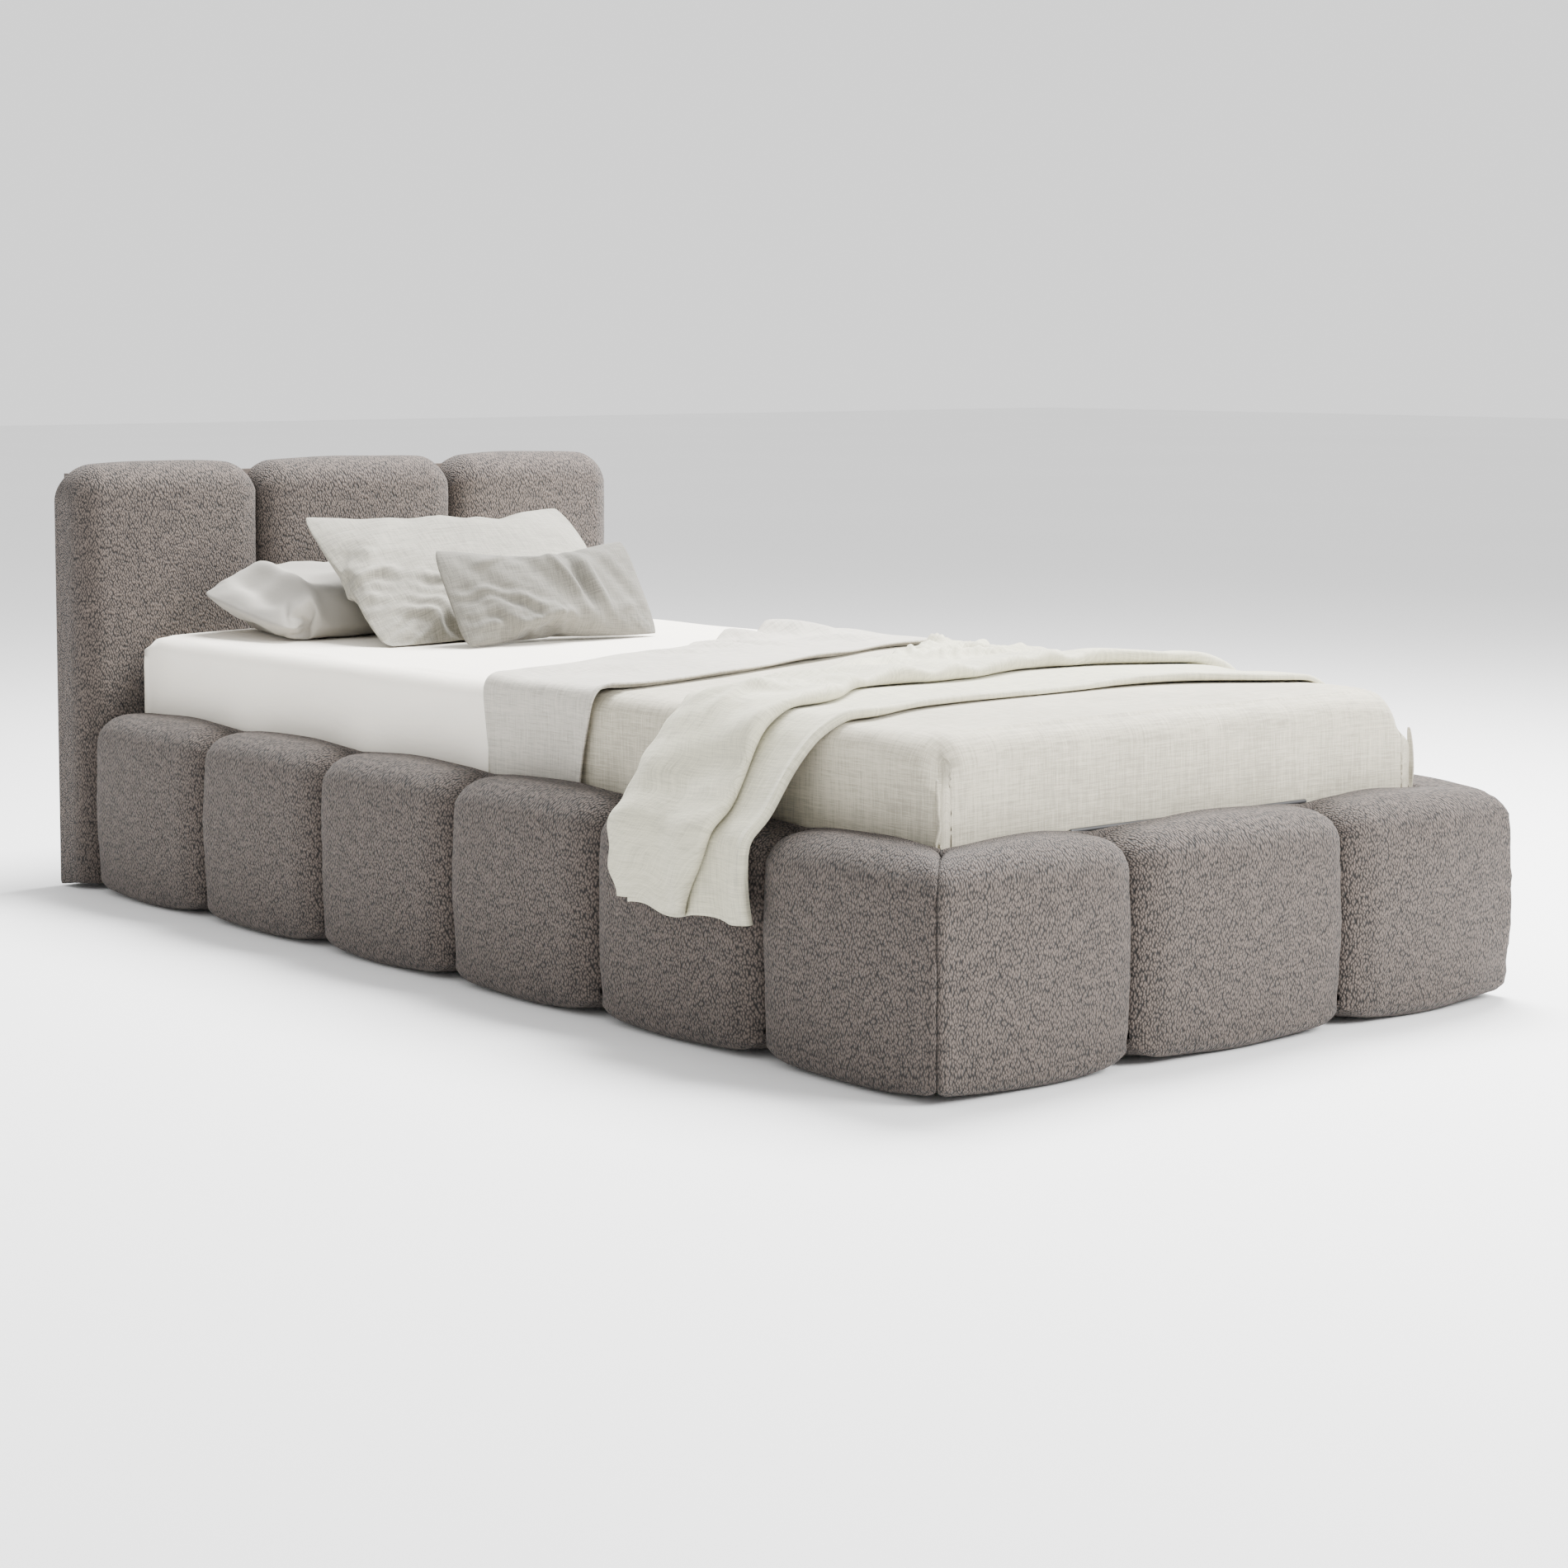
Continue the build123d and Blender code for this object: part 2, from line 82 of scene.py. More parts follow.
def new_object(name, points, faces, smooth=True):
    """A mesh object at the origin from arrays of points and faces."""
    mesh = bpy.data.meshes.new(name)
    mesh.from_pydata(np.asarray(points).reshape(-1, 3).tolist(), [], faces)
    mesh.validate()
    if smooth:
        mesh.polygons.foreach_set("use_smooth", np.ones(len(mesh.polygons), bool))
    obj = bpy.data.objects.new(name, mesh)
    bpy.context.collection.objects.link(obj)
    return obj


def grid_faces(rows, columns, wrap=False):
    """Quads between neighbours of a rows x columns grid; wrap joins the last column to the first."""
    index = np.arange(rows * columns).reshape(rows, columns)
    if wrap:
        index = np.column_stack([index, index[:, 0]])
    quads = np.stack([index[:-1, :-1], index[:-1, 1:], index[1:, 1:], index[1:, :-1]], -1)
    return quads.reshape(-1, 4).tolist()


def surface(name, parts):
    """One object from several grids: parts are (points, wrap, uv), uv one column wider where it wraps."""
    points = []
    faces = []
    corners_uv = []
    start = 0
    for grid, wrap, uv in parts:
        rows, columns = grid.shape[:2]
        points.append(grid.reshape(-1, 3))
        faces += (np.array(grid_faces(rows, columns, wrap)) + start).tolist()
        start += rows * columns
        corner = np.stack([uv[:-1, :-1], uv[:-1, 1:], uv[1:, 1:], uv[1:, :-1]], 2)
        corners_uv.append(corner.reshape(-1, 2))
    obj = new_object(name, np.vstack(points), faces)
    layer = obj.data.uv_layers.new(name="cloth")
    layer.data.foreach_set("uv", np.vstack(corners_uv).ravel())
    return obj


def closed(column_values):
    """Repeat the first column after the last, for cloth coordinates on a grid that wraps."""
    return np.concatenate([column_values, column_values[:, :1]], 1)


def tube_parts(grid, flat, rings=5):
    """A closed tube with flat ends: the wall, and two caps whose rings shrink to their middles.

    flat are the two axes in which the caps are flat. The wall's cloth runs along the bar and round it.
    """
    step = np.linalg.norm(np.diff(closed(grid), axis=1), axis=2).mean(0)
    run = np.concatenate([[0], np.cumsum(step)])
    along = np.linalg.norm(np.diff(grid, axis=0), axis=2).max(1)
    along = np.concatenate([[0], np.cumsum(along)])
    uv = np.stack(np.meshgrid(run, along), -1)
    parts = [(grid, True, uv)]
    for ring, order in ((grid[0], 1), (grid[-1], -1)):
        scale = np.linspace(0, 1, rings + 1)[::order, None, None]
        cap = ring.mean(0) + (ring - ring.mean(0)) * scale
        parts.append((cap, True, closed(cap)[..., list(flat)]))
    return parts


def tidy(obj, merge=2e-5, outward=True):
    """Merge points that lie together and turn every face outwards."""
    work = bmesh.new()
    work.from_mesh(obj.data)
    bmesh.ops.remove_doubles(work, verts=work.verts, dist=merge)
    if outward:
        bmesh.ops.recalc_face_normals(work, faces=work.faces)
    work.to_mesh(obj.data)
    work.free()
    obj.data.polygons.foreach_set("use_smooth", np.ones(len(obj.data.polygons), bool))
    return obj


def rounded_loop(low, high, radii, per_arc=12, per_side=14):
    """Points and outward normals of a rectangle with four round corners, going anticlockwise.

    radii are those of the lower left, lower right, upper right and upper left corners.
    """
    centres = [(low[0] + radii[0], low[1] + radii[0]), (high[0] - radii[1], low[1] + radii[1]),
               (high[0] - radii[2], high[1] - radii[2]), (low[0] + radii[3], high[1] - radii[3])]
    points = []
    normals = []
    for i, (centre, radius) in enumerate(zip(centres, radii)):
        angle = np.linspace(math.pi * (1 + i / 2), math.pi * (1.5 + i / 2), per_arc)
        normal = np.column_stack([np.cos(angle), np.sin(angle)])
        arc = np.array(centre) + radius * normal
        nearby = centres[(i + 1) % 4]
        side_normal = np.array([math.cos(angle[-1]), math.sin(angle[-1])])
        target = np.array(nearby) + radii[(i + 1) % 4] * side_normal
        share = np.linspace(0, 1, per_side + 2)[1:-1, None]
        points += [arc, arc[-1] + (target - arc[-1]) * share]
        normals += [normal, np.repeat(side_normal[None], per_side, 0)]
    return np.vstack(points), np.vstack(normals)


def soft_ends(distance, depth, reach):
    """How far a pad's skin draws in at a distance from its seam: a quarter ellipse, 0 beyond reach."""
    near = np.clip(1 - distance / reach, 0, 1)
    return depth * (1 - np.sqrt(1 - near ** 2))


def ripple(along, waves, seed):
    """A smooth random line: sines of the given wavelengths with random phases, about 1 high in all."""
    turns = np.random.default_rng(seed).uniform(0, 2 * math.pi, len(waves))
    total = sum(np.sin(2 * math.pi * along / wave + turn) for wave, turn in zip(waves, turns))
    return total / math.sqrt(len(waves))


def path_run(path):
    """Distance along a line of points, from its first."""
    return np.concatenate([[0], np.cumsum(np.linalg.norm(np.diff(path, axis=0), axis=1))])


# Height and reach of the gathers at a seam; a seam drawn in by GATHERED_SEAM or more has none.
GATHER = 0.0008
GATHER_REACH = 0.028
GATHERED_SEAM = 0.03


def stuffed_bar(loop, normals, weight, span, seams, crown, seed, rows=72):
    """A stuffed lobe in bar axes (across, up, along).

    A closed section is carried along the bar. At the distance s from each end it is drawn in along
    its normals by a quarter ellipse, plus crown * (1 - sin(pi * share of the way)). Short gathers
    fade out from every seam that draws in by less than GATHERED_SEAM, and a slow unevenness runs
    over it all.
    """
    share = (1 - np.cos(np.linspace(0, math.pi, rows))) / 2
    s = share * span
    inset = soft_ends(s, *seams[0]) + soft_ends(span - s, *seams[1])
    inset = inset + crown * (1 - np.sin(math.pi * share))
    run = path_run(loop)
    gather = ripple(run, (0.023, 0.031, 0.047, 0.017), seed)
    gathered = [depth < GATHERED_SEAM for depth, _ in seams]
    near = np.exp(-s / GATHER_REACH) * gathered[0] + np.exp(-(span - s) / GATHER_REACH) * gathered[1]
    slow = ripple(run[None, :] + 0.7 * s[:, None], (0.31, 0.19, 0.13), seed + 50) * 0.0008
    moved = -inset[:, None] + GATHER * near[:, None] * gather[None, :] + slow
    section = loop[None] + normals[None] * (moved * weight)[..., None]
    return np.concatenate([section, np.repeat(s[:, None, None], len(loop), 1)], 2)


def use(obj, body, slot, material, *nodes):
    """Material, body and the CAD nodes that a finished piece stands for; slot is not used."""
    obj.data.materials.clear()
    obj.data.materials.append(material)
    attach(obj, body)
    if nodes:
        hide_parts(*nodes)
    return obj


# ---------------------------------------------------------------- materials

class Shader:
    """A small helper that adds and joins the nodes of one material."""

    def __init__(self, name, roughness=0.8, **sockets):
        self.material = bpy.data.materials.new(name)
        self.material.use_nodes = True
        self.tree = self.material.node_tree
        self.surface = self.tree.nodes["Principled BSDF"]
        self.surface.inputs["Roughness"].default_value = roughness
        for socket, value in sockets.items():
            self.surface.inputs[socket.replace("_", " ")].default_value = value

    def add(self, kind, **settings):
        node = self.tree.nodes.new("ShaderNode" + kind)
        for name, value in settings.items():
            if name in node.inputs.keys():
                node.inputs[name].default_value = value
            else:
                setattr(node, name, value)
        return node

    def join(self, start, socket, end, target):
        self.tree.links.new(start.outputs[socket], end.inputs[target])

    def coords(self, uv, scale, turn=0.0):
        """Object or cloth coordinates in metres, scaled along each axis and turned about Z."""
        source = self.add("TexCoord")
        place = self.add("Mapping")
        place.inputs["Scale"].default_value = scale
        place.inputs["Rotation"].default_value = (0, 0, turn)
        self.join(source, "UV" if uv else "Object", place, "Vector")
        return place

    def noise(self, uv, scale, turn=0.0, detail=2.0, rough=0.5, distort=0.0):
        """Noise whose grain is set by how strongly each axis is scaled."""
        place = self.coords(uv, scale, turn)
        node = self.add("TexNoise", Detail=detail, Roughness=rough, Distortion=distort)
        node.inputs["Scale"].default_value = 1.0
        self.join(place, "Vector", node, "Vector")
        return node

    def cells(self, place, **settings):
        """Voronoi cells, nearest point first, on coordinates that are already scaled."""
        node = self.add("TexVoronoi", feature="F1", **settings)
        node.inputs["Scale"].default_value = 1.0
        self.join(place, "Vector", node, "Vector")
        return node

    def sum(self, parts):
        """A weighted sum of (node, output, weight)."""
        total = None
        for node, socket, weight in parts:
            step = self.add("Math", operation="MULTIPLY_ADD")
            self.join(node, socket, step, 0)
            step.inputs[1].default_value = weight
            step.inputs[2].default_value = 0.0
            if total is not None:
                self.join(total, "Value", step, 2)
            total = step
        return total

    def ramp(self, source, socket, *stops):
        """Colours from a value: stops are (place, (r, g, b))."""
        node = self.add("ValToRGB")
        while len(node.color_ramp.elements) < len(stops):
            node.color_ramp.elements.new(0.5)
        for element, (place, colour) in zip(node.color_ramp.elements, stops):
            element.position = place
            element.color = (*colour, 1)
        self.join(source, socket, node, "Fac")
        return node

    def colour(self, node, socket="Color"):
        self.join(node, socket, self.surface, "Base Color")

    def bump(self, source, socket, distance, strength=1.0):
        node = self.add("Bump", Distance=distance, Strength=strength)
        self.join(source, socket, node, "Height")
        self.join(node, "Normal", self.surface, "Normal")
        return node


def shade(colour, factor):
    """A colour made lighter or darker."""
    return tuple(min(1.0, c * factor) for c in colour)


def boucle():
    """Looped yarn: plump nubs about 6 by 3 mm lying in slanting rows, with painted highlights on the nub
    tops and painted shade between them.
    """
    s = Shader("boucle", 0.92, Sheen_Weight=0.06, Sheen_Roughness=0.5)
    place = s.coords(True, (180, 315, 1), 0.80)
    wander = s.noise(True, (55, 55, 1), 0, 2.0)
    mix = s.add("VectorMath", operation="MULTIPLY_ADD")
    s.join(wander, "Color", mix, 0)
    mix.inputs[1].default_value = (1.6, 1.6, 0)
    s.join(place, "Vector", mix, 2)
    loops = s.cells(mix, voronoi_dimensions="2D", Randomness=0.72)
    fuzz = s.noise(True, (900, 900, 1), 0, 3.0)
    cloud = s.noise(True, (75, 45, 1), 0.75, 3.0)
    height = s.sum([(loops, "Distance", -1.0), (fuzz, "Fac", 0.25), (cloud, "Fac", 0.6)])
    # Colour runs from 3.6 times the base on the nub tops to 0.12 times in the gaps between them: painted
    # highlights and painted shade. The slow cloud noise raises patches and lightens them with the same
    # painted light.
    painted_nub_light = s.sum([(loops, "Distance", 0.85), (fuzz, "Fac", 0.22), (cloud, "Fac", -0.45)])
    base = (0.0335, 0.0262, 0.0220)
    s.colour(s.ramp(painted_nub_light, "Value", (0.0, shade(base, 3.6)), (0.22, shade(base, 1.6)),
                    (0.42, shade(base, 0.45)), (0.62, shade(base, 0.12))))
    s.bump(height, "Value", 0.0030, 0.9)
    return s.material


def linen(name, base, contrast=1.0, crease=0.0, pitch=1.0):
    """Plain-weave linen: crossing threads with slubs, in the cloth's own metres."""
    s = Shader(name, 0.88, Sheen_Weight=0.12, Sheen_Roughness=0.4)
    warp = s.noise(True, (1050 * pitch, 34, 1), 0.012, 2.0, 0.6)
    weft = s.noise(True, (34, 1050 * pitch, 1), -0.012, 2.0, 0.6)
    slub = s.noise(True, (260, 9, 1), 0, 3.0, 0.6)
    slub_across = s.noise(True, (9, 260, 1), 0, 3.0, 0.6)
    mottle = s.noise(True, (5, 5, 1), 0, 3.0, 0.5)
    value = s.sum([(warp, "Fac", 0.42), (weft, "Fac", 0.42), (slub, "Fac", 0.28),
                   (slub_across, "Fac", 0.28), (mottle, "Fac", 0.22)])
    middle = 0.81
    spread = 0.15 / contrast
    s.colour(s.ramp(value, "Value", (middle - spread, shade(base, 0.74)), (middle, base),
                    (middle + spread, shade(base, 1.20))))
    parts = [(warp, "Fac", 0.5), (weft, "Fac", 0.5), (slub, "Fac", 0.35), (slub_across, "Fac", 0.35)]
    if crease:
        folds = s.noise(True, (26, 26, 1), 0, 4.0, 0.55, 0.8)
        parts.append((folds, "Fac", crease))
    s.bump(s.sum(parts), "Value", 0.0009, 0.8)
    return s.material


def cotton(name, base):
    """Smooth percale with faint soft creases."""
    s = Shader(name, 0.82, Sheen_Weight=0.08, Sheen_Roughness=0.4)
    weave = s.noise(False, (1500, 1500, 1500), 0, 2.0)
    crease = s.noise(False, (16, 9, 24), 0, 4.0, 0.5, 0.6)
    value = s.sum([(weave, "Fac", 0.5), (crease, "Fac", 0.5)])
    # The colour is 6 % darker where the crease noise is low, in the hollows of the creases: painted shade.
    s.colour(s.ramp(value, "Value", (0.3, shade(base, 0.94)), (0.7, base)))
    s.bump(s.sum([(weave, "Fac", 0.05), (crease, "Fac", 1.0)]), "Value", 0.0035, 0.5)
    return s.material


def timber(name, base, along, rings=1.0):
    """Planed wood: grain stretched along one axis."""
    scale = [70 * rings] * 3
    scale["xyz".index(along)] = 4
    s = Shader(name, 0.55)
    grain = s.noise(False, tuple(scale), 0, 5.0, 0.6, 0.9)
    fine = s.noise(False, tuple(v * 7 for v in scale), 0, 2.0)
    value = s.sum([(grain, "Fac", 0.75), (fine, "Fac", 0.25)])
    s.colour(s.ramp(value, "Value", (0.32, shade(base, 0.62)), (0.5, base), (0.68, shade(base, 1.15))))
    s.bump(value, "Value", 0.0006, 0.4)
    return s.material


def chips(name, base, scale=180):
    """Pressed wood chips or fibres."""
    s = Shader(name, 0.7)
    flakes = s.cells(s.coords(False, (scale, scale, scale * 1.6)), Randomness=1.0)
    s.colour(s.ramp(flakes, "Color", (0.1, shade(base, 0.6)), (0.6, base), (0.95, shade(base, 1.3))))
    s.bump(flakes, "Distance", 0.0004, 0.3)
    return s.material


def metal(name, base, roughness, metallic, grain=400, wear=0.12, coat=0.0):
    """Painted, plated or drawn metal with a fine grain and slightly uneven sheen."""
    s = Shader(name, roughness, Metallic=metallic, Coat_Weight=coat, Coat_Roughness=0.2)
    speck = s.noise(False, (grain, grain, grain), 0, 3.0)
    patch = s.noise(False, (14, 14, 14), 0, 3.0)
    value = s.sum([(speck, "Fac", 0.5), (patch, "Fac", 0.5)])
    s.colour(s.ramp(value, "Value", (0.3, shade(base, 1 - wear)), (0.7, shade(base, 1 + wear))))
    dull = s.add("MapRange")
    s.join(patch, "Fac", dull, "Value")
    dull.inputs["To Min"].default_value = max(0.05, roughness - 0.08)
    dull.inputs["To Max"].default_value = roughness + 0.1
    s.join(dull, "Result", s.surface, "Roughness")
    s.bump(speck, "Fac", 0.0002, 0.3)
    return s.material


def plastic(name, base, roughness=0.5):
    """Moulded rubber or plastic with a fine sparked texture."""
    s = Shader(name, roughness)
    speck = s.noise(False, (900, 900, 900), 0, 2.0)
    patch = s.noise(False, (30, 30, 30), 0, 2.0)
    value = s.sum([(speck, "Fac", 0.4), (patch, "Fac", 0.6)])
    s.colour(s.ramp(value, "Value", (0.3, shade(base, 0.8)), (0.7, shade(base, 1.3))))
    s.bump(speck, "Fac", 0.0002, 0.4)
    return s.material


def woven(name, base, scale=1200):
    """Close narrow weave or non-woven cloth for webbing, ticking and backing."""
    s = Shader(name, 0.85, Sheen_Weight=0.1)
    one = s.noise(False, (scale, scale / 14, scale / 14), 0, 2.0)
    two = s.noise(False, (scale / 14, scale, scale), 0, 2.0)
    value = s.sum([(one, "Fac", 0.5), (two, "Fac", 0.5)])
    s.colour(s.ramp(value, "Value", (0.35, shade(base, 0.75)), (0.65, shade(base, 1.15))))
    s.bump(value, "Value", 0.0005, 0.5)
    return s.material


BOUCLE = boucle()
SPREAD = linen("spread_linen", (0.44, 0.407, 0.318), 1.7)
BAND = linen("band_linen", (0.43, 0.405, 0.35), 1.4)
THROW = linen("throw_linen", (0.50, 0.48, 0.365), 1.3, 0.5, 1.2)
# The pillow linen is greige of its own and set darker still: partly its own colour, partly painted shade
# for its shaded left half.
PILLOW = linen("pillow_linen", (0.23, 0.219, 0.182), 2.2, 0.6)
CUSHION = linen("cushion_linen", (0.115, 0.109, 0.092), 2.2, 0.9)
SHEET = cotton("sheet_cotton", (0.92, 0.87, 0.77))
# The white pillow's cotton is set to about a third of white: painted shade for the shadow in which the back
# pillow lies.
SHADED_WHITE = cotton("pillow_white", (0.30, 0.284, 0.252))


# ---------------------------------------------------------------- upholstery

def skin_weight(loop, normals):
    """How far each point of a pad's section gives: all outside and on top, nothing against the board."""
    depth = (loop[:, 0] - loop[:, 0].min()) / np.ptp(loop[:, 0])
    inner = np.clip(normals[:, 0], 0, 1) ** 2
    under = np.clip(-normals[:, 1], 0, 1) * np.clip(depth * 1.6 - 0.4, 0, 1)
    return np.clip(1 - inner - under, 0, 1)


# Corner radii of the pads' sections: lower front, lower back, upper back, upper front, where the
# front is the side that shows.
RAIL_CORNERS = (0.022, 0.012, 0.014, 0.052)
HEAD_CORNERS = (0.014, 0.010, 0.026, 0.052)
BELLY = 0.007


def rail_section():
    """Section of a rail pad as (depth from the outer plane, height), its normals and how soft it is.

    A rectangle with round corners and a belly; below the board's top its inner side steps out to
    the board's outer face, so the board stays bare inside.
    """
    loop, normals = rounded_loop((0, RAIL_BOTTOM - 0.002), (WALL, RAIL_TOP), RAIL_CORNERS, 12, 16)
    belly = np.clip(-normals[:, 0], 0, 1) ** 2 * BELLY
    height = (loop[:, 1] - RAIL_BOTTOM) / (RAIL_TOP - RAIL_BOTTOM)
    weight = skin_weight(loop, normals)
    loop = loop + normals * (belly * np.sin(math.pi * np.clip(height, 0, 1)))[:, None]
    beside_board = loop[:, 1] < BOARD_TOP
    loop[beside_board, 0] = np.minimum(loop[beside_board, 0], WALL - BOARD)
    return loop, normals, weight


# How far a seam draws the skin in, and how far along the lobe that is felt.
SEAM = (0.026, 0.060)
MITRE = (0.009, 0.022)
RAIL_CROWN = 0.010
HEAD_CROWN = 0.008


def rail_lobe(start, end, mitre_start, mitre_end, seed):
    """A rail lobe in bar axes from start to end along the rail, each end square or mitred at 45 degrees.

    Its seams draw in, but never below the top edge of the board that they are nailed to.
    """
    loop, normals, weight = rail_section()
    ends = (MITRE if mitre_start else SEAM, MITRE if mitre_end else SEAM)
    bar = stuffed_bar(loop, normals, weight, end - start, ends, RAIL_CROWN, seed)
    on_board = (loop[:, 0] > WALL - BOARD - 0.005) & (loop[:, 1] > BOARD_TOP)
    bar[:, on_board, 1] = np.maximum(bar[:, on_board, 1], BOARD_TOP + 0.0015)
    depth = bar[..., 0]
    share = bar[..., 2] / (end - start)
    along = start + bar[..., 2]
    along = along + np.where(mitre_start, depth * (1 - share), 0) - np.where(mitre_end, depth * share, 0)
    return np.stack([depth, bar[..., 1], along], -1)


def place_pad(name, grid, flat, node):
    """Close a lobe and give it its cloth."""
    obj = tidy(surface(name, tube_parts(grid, flat)))
    use(obj, "root", "boucle", BOUCLE, node)
    return obj


def build_rails():
    """Six lobes along each side and three across the foot, mitred at the two foot corners."""
    count = 6
    step = (HEAD_FACE - FOOT_FACE) / count
    for side, sign in (("left", -1), ("right", 1)):
        for i in range(count):
            start = FOOT_FACE + i * step
            bar = rail_lobe(start, start + step, i == 0, False, 10 * i + (side == "right"))
            grid = np.stack([sign * (OUTER_X - bar[..., 0]), bar[..., 2], bar[..., 1]], -1)
            place_pad(f"rail_lobe_{i + 1}_{side}", grid, (0, 2), f"side_pad_{i + 1}_{side}")
    spans = (("left", -OUTER_X, -SEAM_X, True, False), ("middle", -SEAM_X, SEAM_X, False, False),
             ("right", SEAM_X, OUTER_X, False, True))
    for i, (side, start, end, first, last) in enumerate(spans):
        bar = rail_lobe(start, end, first, last, 101 + i)
        grid = np.stack([bar[..., 2], FOOT_FACE + bar[..., 0], bar[..., 1]], -1)
        place_pad(f"foot_lobe_{side}", grid, (1, 2), f"foot_pad_{side}")


def round_end(bar, distance, back, top, front_round, top_round):
    """Round a headboard lobe towards one of its ends without folding it.

    Depths shrink towards the back plane by a quarter circle of front_round, and heights near the
    top sink by a quarter circle of top_round.
    """
    thin = soft_ends(distance, front_round, front_round)[:, None]
    low = soft_ends(distance, top_round, top_round)[:, None]
    depth = back - bar[..., 0]
    bar[..., 0] = back - depth * (1 - thin / depth.max())
    share = np.clip((bar[..., 1] - top + 2.2 * top_round) / (2.2 * top_round), 0, 1)
    bar[..., 1] -= low * share ** 1.5
    return bar


def build_headboard():
    """Three tall lobes: domed tops, soft front edges and seams, and rounded outer sides."""
    back = head_high[1]
    top = head_high[2]
    loop, normals = rounded_loop((HEAD_FACE, head_low[2]), (back, top), HEAD_CORNERS, 14, 26)
    weight = skin_weight(loop, normals)
    free = (0.0, 0.01)
    free_round = (0.046, 0.058)
    seam_round = (0.020, 0.050)
    spans = (("left", -OUTER_X, -SEAM_X, (free, SEAM)), ("middle", -SEAM_X, SEAM_X, (SEAM, SEAM)),
             ("right", SEAM_X, OUTER_X, (SEAM, free)))
    for i, (side, start, end, ends) in enumerate(spans):
        bar = stuffed_bar(loop, normals, weight, end - start, ends, HEAD_CROWN, 201 + i)
        s = bar[:, 0, 2]
        for distance, seam in zip((s, end - start - s), ends):
            bar = round_end(bar, distance, back, top, *(seam_round if seam == SEAM else free_round))
        grid = np.stack([start + bar[..., 2], bar[..., 0], bar[..., 1]], -1)
        place_pad(f"head_lobe_{side}", grid, (1, 2), f"head_pad_{side}")


# ---------------------------------------------------------------- lines and relief for cloth

def soften(values, reach):
    """Running average of an array's rows, weighted by a bell curve of that many rows; the ends stay."""
    count = int(3 * reach) + 1
    bell = np.exp(-(np.arange(-count, count + 1) / reach) ** 2 / 2)
    first = 2 * values[:1] - values[count:0:-1]
    last = 2 * values[-1:] - values[-2:-count - 2:-1]
    bell /= bell.sum()
    columns = np.concatenate([first, values, last]).T
    return np.stack([np.convolve(column, bell, "valid") for column in columns], 1)


def line(corner_points, soft, step=0.005):
    """An open line through corner points, evenly spaced, its corners rounded by a running average."""
    corner_points = np.array(corner_points, float)
    run = path_run(corner_points)
    even = np.linspace(0, run[-1], int(run[-1] / step) + 1)
    points = np.column_stack([np.interp(even, run, corner_points[:, k]) for k in (0, 1)])
    return soften(points, soft / step)


def normals_2d(path):
    """Unit normals of an open line in X and Z that goes from left to right, pointing up and out."""
    step = np.gradient(path, axis=0)
    step /= np.linalg.norm(step, axis=1)[:, None]
    return np.column_stack([-step[:, 1], step[:, 0]])


def curve(at, *points):
    """A smooth curve of (place, value) points, read at the places given."""
    places, values = np.array(points, float).T
    even = np.linspace(places[0], places[-1], 400)
    soft = soften(np.interp(even, places, values)[:, None], 400 / len(points) / 3)[:, 0]
    return np.interp(at, even, soft)


def ridge(x, y, start, end, height, width):
    """A fold raised along the line from start to end: a bell curve across, dying out at its ends."""
    start = np.array(start)
    along = np.array(end) - start
    length = np.linalg.norm(along)
    along = along / length
    share = ((x - start[0]) * along[0] + (y - start[1]) * along[1]) / length
    off = (x - start[0]) * along[1] - (y - start[1]) * along[0]
    fade = np.where((share > 0) & (share < 1), np.sin(math.pi * np.clip(share, 0, 1)), 0) ** 0.8
    return height * fade * np.exp(-(off / width) ** 2)


def ridges(x, y, *folds):
    """The sum of several folds, each (start, end, height, width)."""
    return sum(ridge(x, y, *fold) for fold in folds)


def smooth_step(values):
    """An even rise from 0 to 1 with flat ends, for values from 0 to 1."""
    share = np.clip(values, 0, 1)
    return share * share * (3 - 2 * share)


def thicken(obj, thickness, offset=-1):
    """Give a cloth surface its thickness."""
    thick = obj.modifiers.new("cloth thickness", "SOLIDIFY")
    thick.thickness = thickness
    thick.offset = offset
    thick.use_rim = True
    return obj


# ---------------------------------------------------------------- mattress, sheet, spread

# Softness of the covers' upper edges, rise of the made-up top, slope of the turned edge, and how
# loosely the sides hang.
EDGE_SOFT = 0.016
CROWN = 0.005
SLANT = 390 / 1120
SLACK = 0.0028


def crown(x, half):
    """How much the top of the made-up bed rises at x: nothing at the edges, all of it in the middle."""
    return CROWN * np.clip(1 - (np.abs(x) / half) ** 4, 0, 1)


def cover_line(half, top, bottom):
    """The line of a cover across the mattress: up the left side, over the crowned top, down the right."""
    path = line([(-half, bottom), (-half, top), (half, top), (half, bottom)], EDGE_SOFT)
    out = normals_2d(path)
    path[:, 1] += crown(path[:, 0], half) * np.clip(out[:, 1], 0, 1)
    return path, out


def drop_face(edge, bottom, rows=26):
    """The end face of a cover: each point of its edge carried straight down, top row first."""
    share = np.linspace(0, 1, rows)[1:, None]
    z = edge[None, :, 2] + (np.minimum(bottom, edge[None, :, 2]) - edge[None, :, 2]) * share
    flat = np.repeat(edge[None, :, :2], rows - 1, 0)
    return np.concatenate([flat, z[..., None]], 2)


